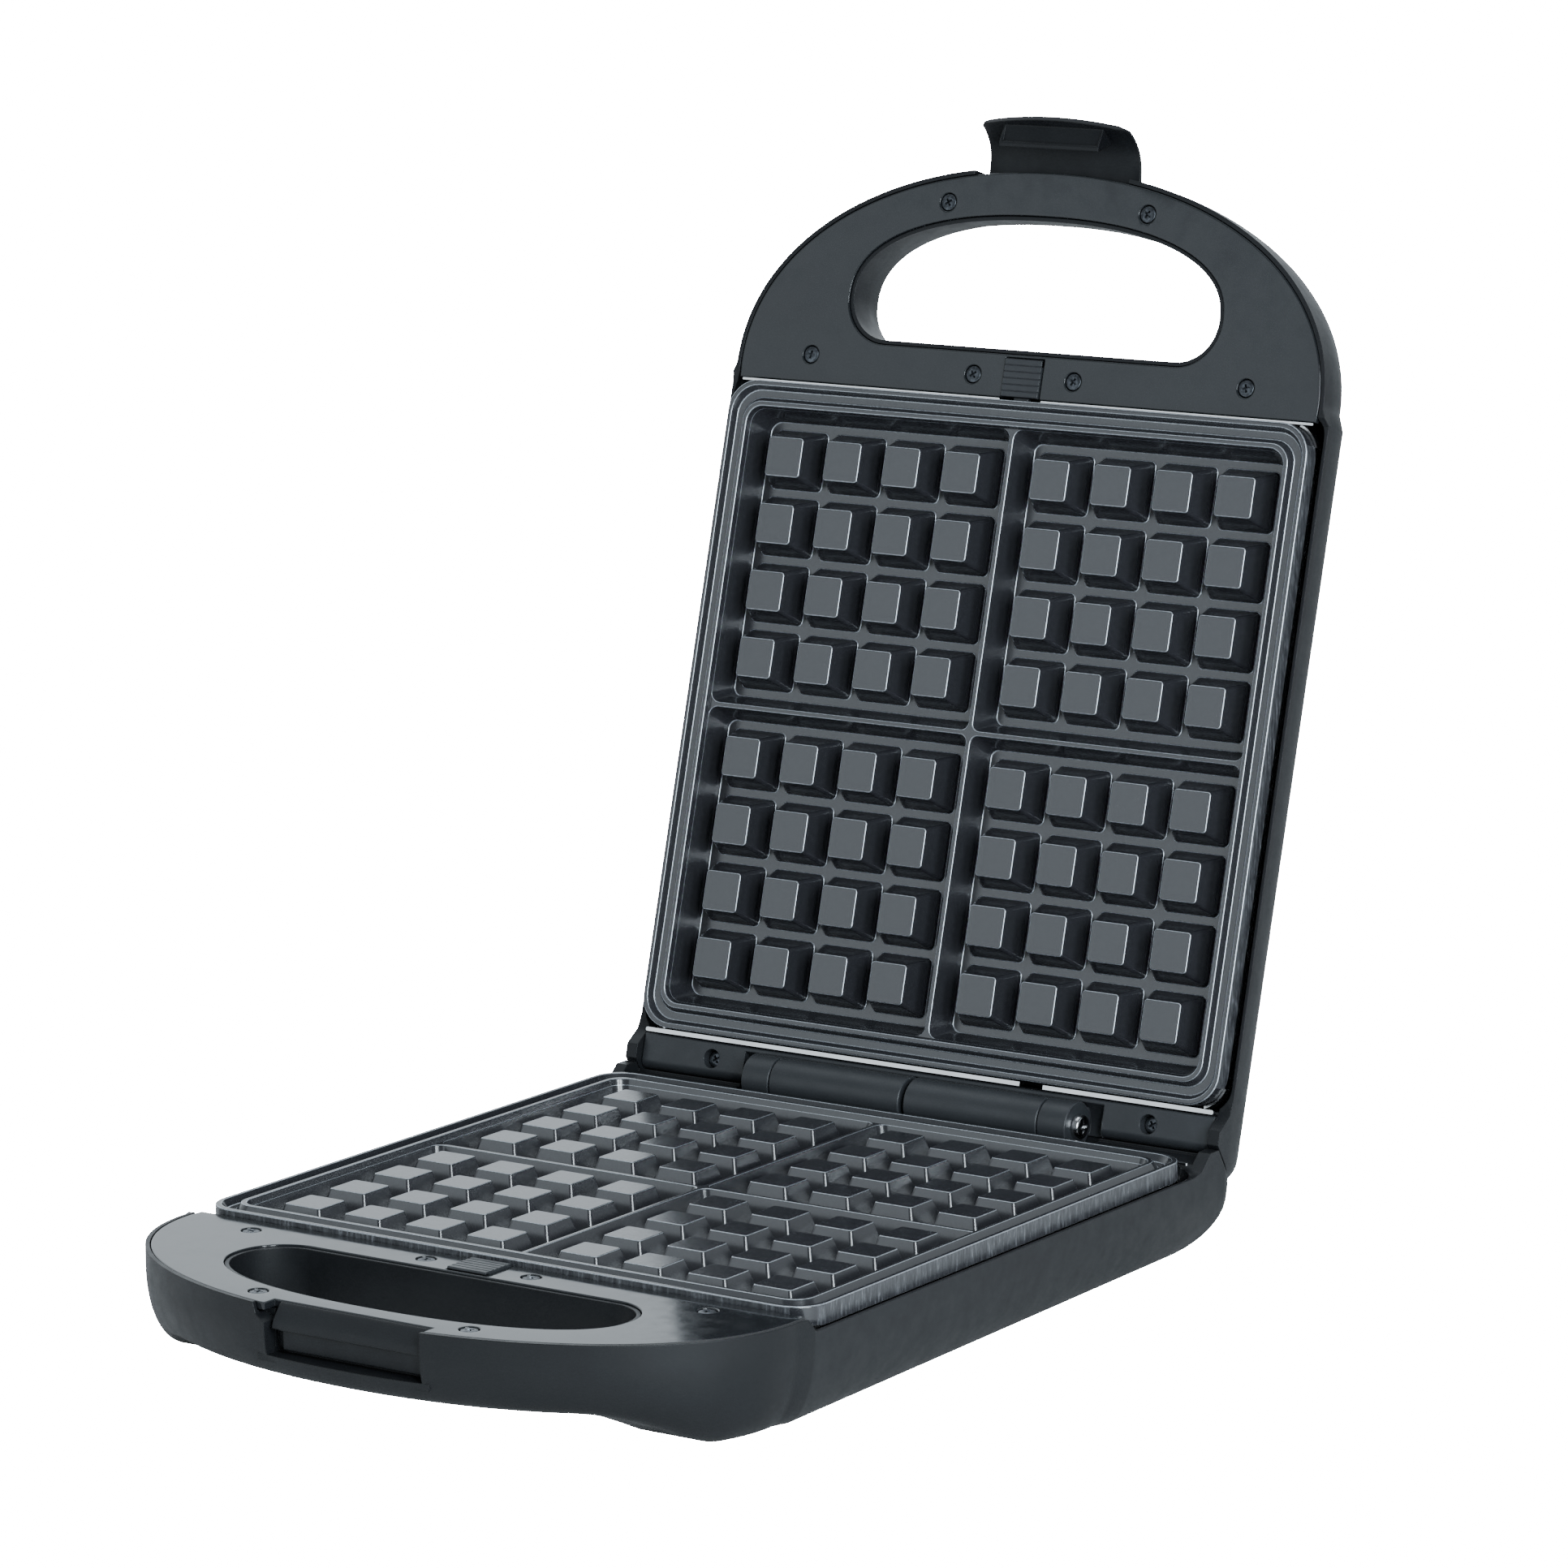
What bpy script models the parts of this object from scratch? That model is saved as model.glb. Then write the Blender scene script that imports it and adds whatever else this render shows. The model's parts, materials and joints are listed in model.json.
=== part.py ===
"""Four-slice waffle maker with its lid open, as separate sub-parts. Metres, +Z up.

Both halves are modelled in the same "half frame": z = 0 is the plane of the waffle pegs' flat tops,
+Z points at the other half, +Y points at the hinge, and the handle is at -Y. Each half is then hung
under an empty: the base's stands above the table, and the lid's is turned over about the hinge axis.
"""

import math
from collections import namedtuple

import bmesh
import bpy
from mathutils import Matrix, Vector

# --- Driving dimensions, in metres -------------------------------------------------------------
GAP = 0.0003  # clearance between pieces that touch
WALL = 0.0022  # moulded casings and covers

# Where the halves stand
PEG_PLANE_Z = 0.0390  # the base's peg tops above the table
PLATE_CENTRE_Y = -0.0198  # the base plate's centre, from the middle of the whole footprint
CLOSED_GAP = 0.0030  # between the two planes of peg tops with the lid shut
HINGE_Y = 0.1318  # hinge axis behind the plate's centre
HINGE_RISE = 0.0021  # hinge axis above the base's peg tops
OPEN_ANGLE = math.radians(104.93)  # lid against its stop

# Waffle plate
PITCH_X, PITCH_Y = 0.0250, 0.0245
PEGS_PER_WAFFLE = 4
CROSS_X, CROSS_Y = 0.0122, 0.0119  # extra pitch across the dividers
PEG_TOP, PEG_HEIGHT = 0.0145, 0.0110
FLOOR_BAND = 0.0030  # flat floor left between two pegs
PLATE_HALF_X, PLATE_HALF_Y = 0.12015, 0.1187
PLATE_CORNER = 0.0105
PLATE_DEPTH, PLATE_SKIRT = 0.0140, 0.0072  # below the peg tops: the wells' underside, and the side wall
RIM_RISE, CHANNEL_DROP = 0.0010, 0.0016  # rim ridges above, overflow channel below the peg tops
DIVIDER_DROP = 0.0012

# Casings
CASE_HALF_X = 0.1253
RIM_INSET = 0.0015  # the rim stands in from the widest line
CASE_REAR_Y = 0.1480
CASE_REAR_CORNER = 0.0110
OPENING_HALF_X, OPENING_REAR_Y = 0.1225, 0.1224
SIDE_RIM = -0.0047  # the casing's edge beside the plate
HANDLE_CENTRE_Y, HANDLE_HALF_X, HANDLE_REACH, HANDLE_POWER = -0.1250, 0.1232, 0.0795, 2.1
HANDLE_CURVE = 0.0065  # how far the handle's underside curves in
SHOULDER_Y = -0.1195
ARC_STEPS = 24  # along the handle's outer edge
CASE_TOP, CAVITY_TOP = 0.0030, 0.0060  # where the solid and its cavity start, before the edge is cut
REAR_DECK = -0.0025
EAR_HALF_X, EAR_RISE = 0.1192, 0.0012

# Handle hole, as the cover's cut-out: two half superellipses on one centre line
HOLE_CENTRE_Y, HOLE_HALF_X, HOLE_OUT, HOLE_IN = -0.1500, 0.0777, 0.0346, 0.0144
HOLE_OUT_POWER, HOLE_IN_POWER = 2.2, 3.6
SLEEVE_WALL = 0.0017

# Handle covers, screws and release slides
COVER_THICK = 0.0025
COVER_REAR_Y = -0.1200
COVER_LEDGE = 0.0015  # the casing's rim round the cover
COVER_INSET = COVER_LEDGE + GAP
SCREW_SPOTS = ((0.0413, -0.1886), (0.0903, -0.1300), (0.0208, -0.1275))
SCREW_HEAD_R, SCREW_HEAD_H, SCREW_SHANK_R, SCREW_LENGTH = 0.0030, 0.0012, 0.0014, 0.0090
BOSS_R = 0.0036
SLIDE_HALF_X, SLIDE_FRONT_Y, SLIDE_REAR_Y = 0.0076, -0.1325, -0.1203
SLIDE_TRAVEL = 0.0025
SLIDE_RIBS = 5
QUARTER = [math.radians(15 * step) for step in range(7)]  # a quarter turn, for round edges

# Hinge
BARREL_R, BARREL_BORE_R = 0.0088, 0.0031
BARREL_IN_X, BARREL_OUT_X = 0.0010, 0.0557
COLLAR_IN_X, COLLAR_OUT_X = 0.0561, 0.0675
POCKET_OUT_X = 0.0800  # screwdriver pockets beside the collars
TROUGH_R = BARREL_R + 0.0006
PIN_R = 0.0030
HINGE_SCREW_X, HINGE_SCREW_Y = 0.0933, 0.1275

# Latch, on the lid's handle
LATCH_HALF_X = 0.0300
LATCH_Y, LATCH_Z = -0.1975, -0.0125
LATCH_TIP_Y, LATCH_TIP_Z = -0.0215, 0.0125  # free end from the pin, folded out
LATCH_HOOK_Y, LATCH_HOOK_Z = -0.0115, 0.0153  # hook's edge from the pin, folded out
LATCH_BULGE, LATCH_SHEET, LATCH_KNUCKLE_R = 0.0042, 0.0022, 0.0030
LATCH_NOTCH_HALF_X = 0.0320
RECESS_HALF_X, RECESS_BACK_Y, RECESS_DEPTH = 0.0310, -0.1935, 0.0210  # in the base, for the closed latch
CATCH_HALF_X, CATCH_Y = 0.0270, -0.1968
LATCH_PIN_R = 0.0015
LATCH_HOOK_HALF_X = 0.0205

# Reflector trays and heating elements
TRAY_HALF_X, TRAY_HALF_Y, TRAY_SHEET = 0.1219, 0.1199, 0.0008
CHAMBER_SHARES = (0.0, 0.40, 0.72)  # how far down the chamber the tray's rings are, floor last
TRAY_LIP_Z, TRAY_LIP_Y = -0.0015, 0.1220
TRAY_LIP_HALF_X = 0.1185
TRAY_NOTCH = (0.0415, 0.0490)  # break in the lip at the hinge side
ELEMENT_R, ELEMENT_Z = 0.0032, -0.0182
ELEMENT_HALF_X, ELEMENT_HALF_Y, ELEMENT_BEND = 0.0700, 0.0700, 0.0200

FOOT_SPOTS = ((0.0950, 0.0920), (0.0950, -0.0950))
FOOT_R, FOOT_TAPER, PLUG_R, PLUG_H = 0.0085, 0.0008, 0.0025, 0.0035
GLAND_X, GLAND_Z, GLAND_R = -0.0800, -0.0250, 0.0060
LENS_X, LENS_Y, LENS_R, LENS_OUT_Z, LENS_IN_Z = 0.0100, -0.1080, 0.0030, -0.0266, -0.0212

# What differs between the halves. belly is the casing's depth below the peg tops, handle_belly the
# same under the handle, side_drop the depth at which the side wall starts to curve in, side_curve how
# far in that curve runs, and rear_drop and rear_curve the same at the rear wall.
Half = namedtuple(
    "Half", "name cover_z belly handle_belly side_drop side_curve rear_drop rear_curve rear_slope mirror_x"
)
BASE = Half("base", -0.0010, 0.0350, 0.0245, 0.0075, 0.0130, 0.0180, 0.0380, math.radians(57.5), 1)
LID = Half("lid", -0.0030, 0.0300, 0.0240, 0.0075, 0.0600, 0.0075, 0.0600, math.radians(48.5), -1)
RAMP_FRONT_Y, RAMP_REAR_Y = -0.1875, -0.1500  # the base deepens from its handle to its body

# --- Materials ---------------------------------------------------------------------------------
BLACK_PLASTIC = ("black_plastic", (0.030, 0.034, 0.038), 0.45, 0.0)
COVER_PLASTIC = ("cover_plastic", (0.040, 0.045, 0.050), 0.35, 0.0)
NONSTICK = ("nonstick_coating", (0.065, 0.070, 0.078), 0.40, 0.3)
BRIGHT_STEEL = ("bright_steel", (0.80, 0.80, 0.80), 0.15, 1.0)
SCREW_STEEL = ("screw_steel", (0.10, 0.10, 0.11), 0.35, 1.0)
ELEMENT_STEEL = ("element_steel", (0.25, 0.24, 0.23), 0.40, 1.0)
RUBBER = ("rubber", (0.02, 0.02, 0.02), 0.80, 0.0)
CERAMIC = ("ceramic", (0.75, 0.72, 0.66), 0.60, 0.0)
RED_LENS = ("red_lens", (0.60, 0.02, 0.02), 0.10, 0.0)
GREEN_LENS = ("green_lens", (0.02, 0.45, 0.06), 0.10, 0.0)


def material(spec):
    name, colour, roughness, metallic = spec
    made = bpy.data.materials.get(name) or bpy.data.materials.new(name)
    made.use_nodes = True
    shader = made.node_tree.nodes["Principled BSDF"]
    shader.inputs["Base Color"].default_value = (*colour, 1.0)
    shader.inputs["Roughness"].default_value = roughness
    shader.inputs["Metallic"].default_value = metallic
    return made


# --- Mesh helpers ------------------------------------------------------------------------------
def new_object(name, mesh_data, collection):
    made = bpy.data.objects.new(name, mesh_data)
    collection.objects.link(made)
    return made


def from_bmesh(name, bm):
    """The bmesh as an object in the cutters' collection; finish_part() moves the ones that are parts."""
    bmesh.ops.recalc_face_normals(bm, faces=bm.faces)
    mesh_data = bpy.data.meshes.new(name)
    bm.to_mesh(mesh_data)
    bm.free()
    return new_object(name, mesh_data, CUTTERS)


def box(name, low, high):
    bm = bmesh.new()
    bmesh.ops.create_cube(bm, size=1.0)
    size = Vector(high) - Vector(low)
    bmesh.ops.scale(bm, vec=size, verts=bm.verts)
    bmesh.ops.translate(bm, vec=(Vector(high) + Vector(low)) / 2, verts=bm.verts)
    return from_bmesh(name, bm)


def rod(name, start, end, radius, end_radius=None, segments=24):
    """A cylinder or cone from start to end."""
    start, end = Vector(start), Vector(end)
    along = end - start
    bm = bmesh.new()
    bmesh.ops.create_cone(
        bm,
        cap_ends=True,
        segments=segments,
        radius1=radius,
        radius2=radius if end_radius is None else end_radius,
        depth=along.length,
    )
    turn = Vector((0, 0, 1)).rotation_difference(along).to_matrix().to_4x4()
    bmesh.ops.transform(bm, matrix=Matrix.Translation((start + end) / 2) @ turn, verts=bm.verts)
    return from_bmesh(name, bm)


def loft(name, rings, last_apex=None):
    """A solid through rings of equal point counts, capped at both ends. A last ring that isn't flat
    but is the same left and right gets a cap of rungs across it, counted from its apex point."""
    bm = bmesh.new()
    made = [[bm.verts.new(point) for point in ring] for ring in rings]
    for lower, upper in zip(made, made[1:]):
        for i in range(len(lower)):
            j = (i + 1) % len(lower)
            bm.faces.new((lower[i], lower[j], upper[j], upper[i]))
    bm.faces.new(made[0])
    last = made[-1]
    if last_apex is None:
        bm.faces.new(last)
        return from_bmesh(name, bm)
    count = len(last)
    bm.faces.new((last[last_apex - 1], last[last_apex], last[last_apex + 1]))
    for rung in range(1, count // 2):
        right, next_right = last[last_apex + rung], last[last_apex + rung + 1]
        left, next_left = last[(last_apex - rung) % count], last[(last_apex - rung - 1) % count]
        bm.faces.new((left, right, next_right, next_left))
    return from_bmesh(name, bm)


def prism(name, outline, low, high):
    """The (x, y) outline between two heights."""
    return loft(name, [[(x, y, z) for x, y in outline] for z in (low, high)])


def side_prism(name, outline, left, right):
    """The (y, z) outline between two x positions."""
    return loft(name, [[(x, y, z) for y, z in outline] for x in (left, right)])


def combine(target, operation, *tools):
    """Applies Booleans to target's own mesh, so that the tools can be thrown away."""
    for tool in tools:
        modifier = target.modifiers.new(operation, "BOOLEAN")
        modifier.operation = operation
        modifier.solver = "EXACT"
        modifier.object = tool
        bpy.context.view_layer.update()
        graph = bpy.context.evaluated_depsgraph_get()
        result = bpy.data.meshes.new_from_object(target.evaluated_get(graph))
        target.modifiers.remove(modifier)
        target.data = result
        bpy.data.objects.remove(tool)
    return target


def cut(target, *tools):
    return combine(target, "DIFFERENCE", *tools)


def join(target, *tools):
    return combine(target, "UNION", *tools)


def finish_part(part, spec, parent):
    """Names the piece's material, shades it and hangs it under its parent."""
    CUTTERS.objects.unlink(part)
    PARTS.objects.link(part)
    part.data.materials.clear()
    part.data.materials.append(material(spec))
    part.data.polygons.foreach_set("material_index", [0] * len(part.data.polygons))
    part.data.shade_smooth()
    part.data.set_sharp_from_angle(angle=math.radians(35))
    part.parent = parent
    return part


# --- Outlines, as lists of (x, y) --------------------------------------------------------------
def rounded_rectangle(half_x, low_y, high_y, radius, steps=5):
    points = []
    corners = (
        (half_x - radius, low_y + radius, -90),
        (half_x - radius, high_y - radius, 0),
        (radius - half_x, high_y - radius, 90),
        (radius - half_x, low_y + radius, 180),
    )
    for centre_x, centre_y, start in corners:
        for step in range(steps + 1):
            angle = math.radians(start + 90 * step / steps)
            points.append((centre_x + radius * math.cos(angle), centre_y + radius * math.sin(angle)))
    return points


def half_superellipse(centre_y, half_x, reach, power, start, steps):
    """Half a superellipse from angle start, anticlockwise, both ends included."""
    points = []
    for step in range(steps + 1):
        angle = math.radians(start + 180 * step / steps)
        cosine, sine = math.cos(angle), math.sin(angle)
        x = math.copysign(half_x * abs(cosine) ** (2 / power), cosine)
        y = math.copysign(reach * abs(sine) ** (2 / power), sine)
        points.append((x, centre_y + y))
    return points


def handle_arc(inset):
    """The handle's outer edge, from its left shoulder round to its right one."""
    return half_superellipse(
        HANDLE_CENTRE_Y, HANDLE_HALF_X - inset, HANDLE_REACH - inset, HANDLE_POWER, 180, ARC_STEPS
    )


def case_outline(inset, rear_inset=None):
    """The whole casing: handle arc, shoulders, straight sides and rounded rear corners."""
    half_x = CASE_HALF_X - inset
    rear_y = CASE_REAR_Y - (inset if rear_inset is None else rear_inset)
    rear = rounded_rectangle(half_x, SHOULDER_Y, rear_y, CASE_REAR_CORNER - inset / 2, 6)
    right_rear, left_rear = rear[7:14], rear[14:21]
    right_side, left_side = (half_x, SHOULDER_Y), (-half_x, SHOULDER_Y)
    return [*handle_arc(inset), right_side, *right_rear, *left_rear, left_side]


def hole_outline(inset, steps=10):
    outer = half_superellipse(
        HOLE_CENTRE_Y, HOLE_HALF_X - inset, HOLE_OUT - inset, HOLE_OUT_POWER, 180, 2 * steps
    )
    inner = half_superellipse(
        HOLE_CENTRE_Y, HOLE_HALF_X - inset, HOLE_IN - inset, HOLE_IN_POWER, 0, steps
    )
    return [*outer[:-1], *inner[:-1]]


def curve_in(depth, drop, belly, width):
    """How far a wall has curved in at a depth: none down to drop, then a quarter ellipse to the belly."""
    share = max(0.0, depth - drop) / (belly - drop)
    return width * (1 - math.sqrt(max(0.0, 1 - share * share)))


def ramp(y):
    """0 under the base's handle, 1 under its body, smoothly between them."""
    share = min(1.0, max(0.0, (y - RAMP_FRONT_Y) / (RAMP_REAR_Y - RAMP_FRONT_Y)))
    return share * share * (3 - 2 * share)


def base_ring(share, wall=0.0):
    """A ring round the base's casing, this share of the way from the side drop to the underside, which
    is deeper under the body than under the handle. wall moves it inwards."""
    ring = []
    for i, (_, y) in enumerate(case_outline(0.0)):
        deep = ramp(y)
        belly = BASE.handle_belly + (BASE.belly - BASE.handle_belly) * deep - wall
        width = HANDLE_CURVE + (BASE.side_curve - HANDLE_CURVE) * deep
        depth = BASE.side_drop + (belly - BASE.side_drop) * share
        inset = RIM_INSET + wall + curve_in(depth, BASE.side_drop, belly, width)
        rear_inset = RIM_INSET + wall + curve_in(depth, BASE.rear_drop, belly, BASE.rear_curve)
        x, y = case_outline(inset, rear_inset)[i]
        ring.append((x, y, -depth))
    return ring


# --- Waffle plates -----------------------------------------------------------------------------
def peg_centres(pitch, cross):
    near = [(cross + pitch) / 2 + pitch * step for step in range(PEGS_PER_WAFFLE)]
    return [-place for place in reversed(near)] + near


def plate_ring(inset, z, inset_y=None):
    """A rounded rectangle concentric with the plate."""
    half_y = PLATE_HALF_Y - (inset if inset_y is None else inset_y)
    radius = max(PLATE_CORNER - 0.6 * inset, 0.004)
    outline = rounded_rectangle(PLATE_HALF_X - inset, -half_y, half_y, radius)
    return [(x, y, z) for x, y in outline]


def frusta(name, spots, low_half, high_half, low_z, high_z):
    """Square frusta at many places, in one mesh, a little shorter along y as the pitch is."""
    bm = bmesh.new()
    for x, y in spots:
        made = bmesh.ops.create_cone(
            bm,
            cap_ends=True,
            segments=4,
            radius1=low_half * math.sqrt(2),
            radius2=high_half * math.sqrt(2),
            depth=high_z - low_z,
        )
        turn = Matrix.Rotation(math.radians(45), 4, "Z")
        squash = Matrix.Scale(PITCH_Y / PITCH_X, 4, (0, 1, 0))
        place = Matrix.Translation((x, y, (low_z + high_z) / 2)) @ squash @ turn
        bmesh.ops.transform(bm, matrix=place, verts=made["verts"])
    return from_bmesh(name, bm)


def waffle_plate(half, parent):
    """Cast plate: rim ridges round an overflow channel, four wells of pegs, hollow underneath."""
    floor = -PEG_HEIGHT
    plate = loft(
        half.name + "_waffle_plate",
        [
            plate_ring(0.0100, -PLATE_DEPTH),
            plate_ring(0.0070, -0.0042),
            plate_ring(0.0024, -0.0042),
            plate_ring(0.0024, -PLATE_SKIRT),
            plate_ring(0.0, -PLATE_SKIRT),
            plate_ring(0.0, RIM_RISE - 0.0006),
            plate_ring(0.0006, RIM_RISE),
            plate_ring(0.0018, RIM_RISE),
            plate_ring(0.0032, -CHANNEL_DROP),
            plate_ring(0.0058, -CHANNEL_DROP),
            plate_ring(0.0072, RIM_RISE),
            plate_ring(0.0087, RIM_RISE),
            plate_ring(0.0126, floor),
        ],
    )
    centres_x, centres_y = peg_centres(PITCH_X, CROSS_X), peg_centres(PITCH_Y, CROSS_Y)
    spots = [(x, y) for y in centres_y for x in centres_x]
    foot = (PITCH_X - FLOOR_BAND) / 2
    sink = 0.0005
    flare = (foot - PEG_TOP / 2) / PEG_HEIGHT
    pegs = frusta("pegs", spots, foot + flare * sink, PEG_TOP / 2, floor - sink, 0.0)
    ridge = 0.0008
    root = (CROSS_X + FLOOR_BAND) / 2 - FLOOR_BAND
    long_way = [
        (-root, floor - sink), (root, floor - sink), (ridge, -DIVIDER_DROP), (-ridge, -DIVIDER_DROP),
    ]
    end_x, end_y = PLATE_HALF_X - 0.0095, PLATE_HALF_Y - 0.0095
    across = side_prism("divider_across", long_way, -end_x, end_x)
    along = loft("divider_along", [[(x, y, z) for x, z in long_way] for y in (-end_y, end_y)])
    join(plate, pegs, across, along)
    hollows = frusta("hollows", spots, 0.0092, 0.0054, -PLATE_DEPTH - 0.001, -0.0030)
    catch_slot = box(
        "catch_slot", (-0.0036, -PLATE_HALF_Y - 0.001, -0.0046), (0.0036, -PLATE_HALF_Y + 0.0035, -0.0016),
    )
    cut(plate, hollows, catch_slot)
    return finish_part(plate, NONSTICK, parent)


# --- Casings -----------------------------------------------------------------------------------
def base_solid():
    """The outside of the base's casing."""
    rings = [[(x, y, CASE_TOP) for x, y, _ in base_ring(0.0)]]
    rings += [base_ring(share) for share in (0.0, 0.25, 0.45, 0.65, 0.82, 0.94, 1.0)]
    return loft("base_casing", rings, ARC_STEPS // 2)


def lid_solid():
    """The outside of the lid's casing: the whole outline to the handle's depth, and the body's dome."""
    half = LID
    rings = [[(x, y, CASE_TOP) for x, y in case_outline(RIM_INSET)]]
    for share in (0.0, 0.5, 0.85, 1.0):
        depth = half.side_drop + (half.handle_belly - half.side_drop) * share
        inset = RIM_INSET + curve_in(depth, half.side_drop, half.handle_belly, HANDLE_CURVE)
        rings.append([(x, y, -depth) for x, y in case_outline(inset)])
    solid = loft("lid_casing", rings)
    body_rings = [body_ring(RIM_INSET, -half.side_drop + 0.0060)]
    for share in (0.0, 0.2, 0.4, 0.6, 0.8, 0.94, 1.0):
        depth = half.side_drop + (half.belly - half.side_drop) * share
        inset = RIM_INSET + curve_in(depth, half.side_drop, half.belly, half.side_curve)
        body_rings.append(body_ring(inset, -depth))
    return join(solid, loft("body", body_rings))


def body_ring(inset, z):
    """The lid's body without its handle."""
    front = -0.1275 + inset * 0.8
    outline = rounded_rectangle(
        CASE_HALF_X - inset, front, CASE_REAR_Y - inset, CASE_REAR_CORNER + inset / 3, 6,
    )
    return [(x, y, z) for x, y in outline]


def chamber_wall(half, share):
    """(depth, inset) of the heater chamber's wall, this share of the way down its curve."""
    floor = half.belly - WALL
    depth = half.side_drop + (floor - half.side_drop) * share
    return depth, curve_in(depth, half.side_drop, floor, half.side_curve)


def under_handle(half):
    """The inside of a casing's handle, wide at the top for the cover, round the hole's sleeve."""
    ledge_z = half.cover_z - COVER_THICK - GAP
    floor = half.handle_belly - WALL
    steps = [
        (CAVITY_TOP, RIM_INSET + COVER_LEDGE),
        (ledge_z, RIM_INSET + COVER_LEDGE),
        (ledge_z, RIM_INSET + WALL),
    ]
    for depth in (half.side_drop, floor - 0.004, floor):
        steps.append((-depth, RIM_INSET + WALL + curve_in(depth, half.side_drop, floor, HANDLE_CURVE)))
    rings = []
    for z, inset in steps:
        arc = handle_arc(inset)
        rear = -0.1020 + inset / 2
        rings.append([(x, y, z) for x, y in [*arc, (arc[-1][0], rear), (arc[0][0], rear)]])
    hollow = loft("under_handle", rings)
    sleeve = prism("sleeve", hole_outline(GAP), -half.belly - 0.001, CAVITY_TOP + 0.001)
    return cut(hollow, sleeve)


def case_cavity(half):
    """The inside of a casing: under the handle and under the plate."""
    body = []
    for share in (*CHAMBER_SHARES, 1.0):
        depth, inset = chamber_wall(half, share)
        outline = rounded_rectangle(
            OPENING_HALF_X - inset, -0.1250 + inset, OPENING_REAR_Y - 0.0015, 0.010, 4,
        )
        body.append([(x, y, -depth) for x, y in outline])
    outline = rounded_rectangle(OPENING_HALF_X, -0.1250, OPENING_REAR_Y, 0.010, 4)
    body.insert(0, [(x, y, CAVITY_TOP) for x, y in outline])
    return join(under_handle(half), loft("under_plate", body))


def top_edge_cutter(half):
    """Everything above the casing's edge: level with the cover round the handle, low beside the plate,
    up again at the hinge ears, and sloping away behind the hinge so that the open lid rests there."""
    axis_z = hinge_z(half)
    far = 0.30
    run = far - HINGE_Y
    slope_end = axis_z - run * math.tan(half.rear_slope)
    outline = [
        (-far, half.cover_z),
        (SHOULDER_Y - 0.002, half.cover_z),
        (SHOULDER_Y + 0.001, SIDE_RIM),
        (0.1150, SIDE_RIM),
        (0.1215, SIDE_RIM + 0.0020),
        (0.1260, EAR_RISE),
        (HINGE_Y + (axis_z - EAR_RISE) / math.tan(half.rear_slope) - GAP, EAR_RISE),
        (far - GAP, slope_end),
        (far, 0.10),
        (-far, 0.10),
    ]
    return side_prism("top_edge", outline, -0.2, 0.2)


def hinge_z(half):
    """Height of the hinge axis in the half's own frame."""
    return HINGE_RISE if half is BASE else CLOSED_GAP - HINGE_RISE


def rear_hollow(half):
    """The space behind the heater chamber, under the hinge, up to the rear wall."""
    steep = math.tan(half.rear_slope)
    top = -0.0160
    inner_rear = CASE_REAR_Y - (0.0062 if half is BASE else 0.0140)
    crest = HINGE_Y + (hinge_z(half) - top) / steep - 0.0045
    if half is LID:
        outline = [(0.1180, -0.0225), (0.1180, top), (crest, top), (inner_rear, -0.0225)]
        return side_prism("rear_hollow", outline, -0.1060, 0.1060)
    outline = [(0.1180, top), (crest, top), (inner_rear, top - (inner_rear - crest) * steep)]
    for depth in (0.0260, 0.0285, 0.0300):
        curved = curve_in(depth, half.rear_drop, half.belly, half.rear_curve)
        outline.append((inner_rear - curved, -depth + 0.0010))
    outline.append((0.1180, outline[-1][1]))
    return side_prism("rear_hollow", outline, -0.1060, 0.1060)


def casing(half):
    part = base_solid() if half is BASE else lid_solid()
    cut(part, case_cavity(half))
    hole = loft(
        "hole",
        [[(x, y, z) for x, y in hole_outline(SLEEVE_WALL)] for z in (-0.06, 0.02)],
    )
    middle = EAR_HALF_X
    deck = box("deck", (-middle, OPENING_REAR_Y - 0.004, REAR_DECK), (middle, HINGE_Y + 0.002, 0.02))
    axis = hinge_z(half)
    trough = rod(
        "trough", (-POCKET_OUT_X, HINGE_Y, axis), (POCKET_OUT_X, HINGE_Y, axis), TROUGH_R, segments=24,
    )
    sleeve_top = box("sleeve_top", (-0.079, -0.186, half.cover_z - 0.0006), (0.079, -0.134, 0.02))
    cut(part, top_edge_cutter(half), hole, deck, trough, rear_hollow(half), sleeve_top)
    floor = -(half.handle_belly - 0.001)
    for x, y in screw_spots():
        boss_top = half.cover_z - COVER_THICK - GAP
        join(part, rod("boss", (x, y, floor), (x, y, boss_top), BOSS_R, segments=12))
        pilot = rod(
            "pilot",
            (x, y, boss_top - SCREW_LENGTH),
            (x, y, boss_top + 0.001),
            SCREW_SHANK_R + GAP,
            segments=6,
        )
        cut(part, pilot)
    return part


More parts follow.
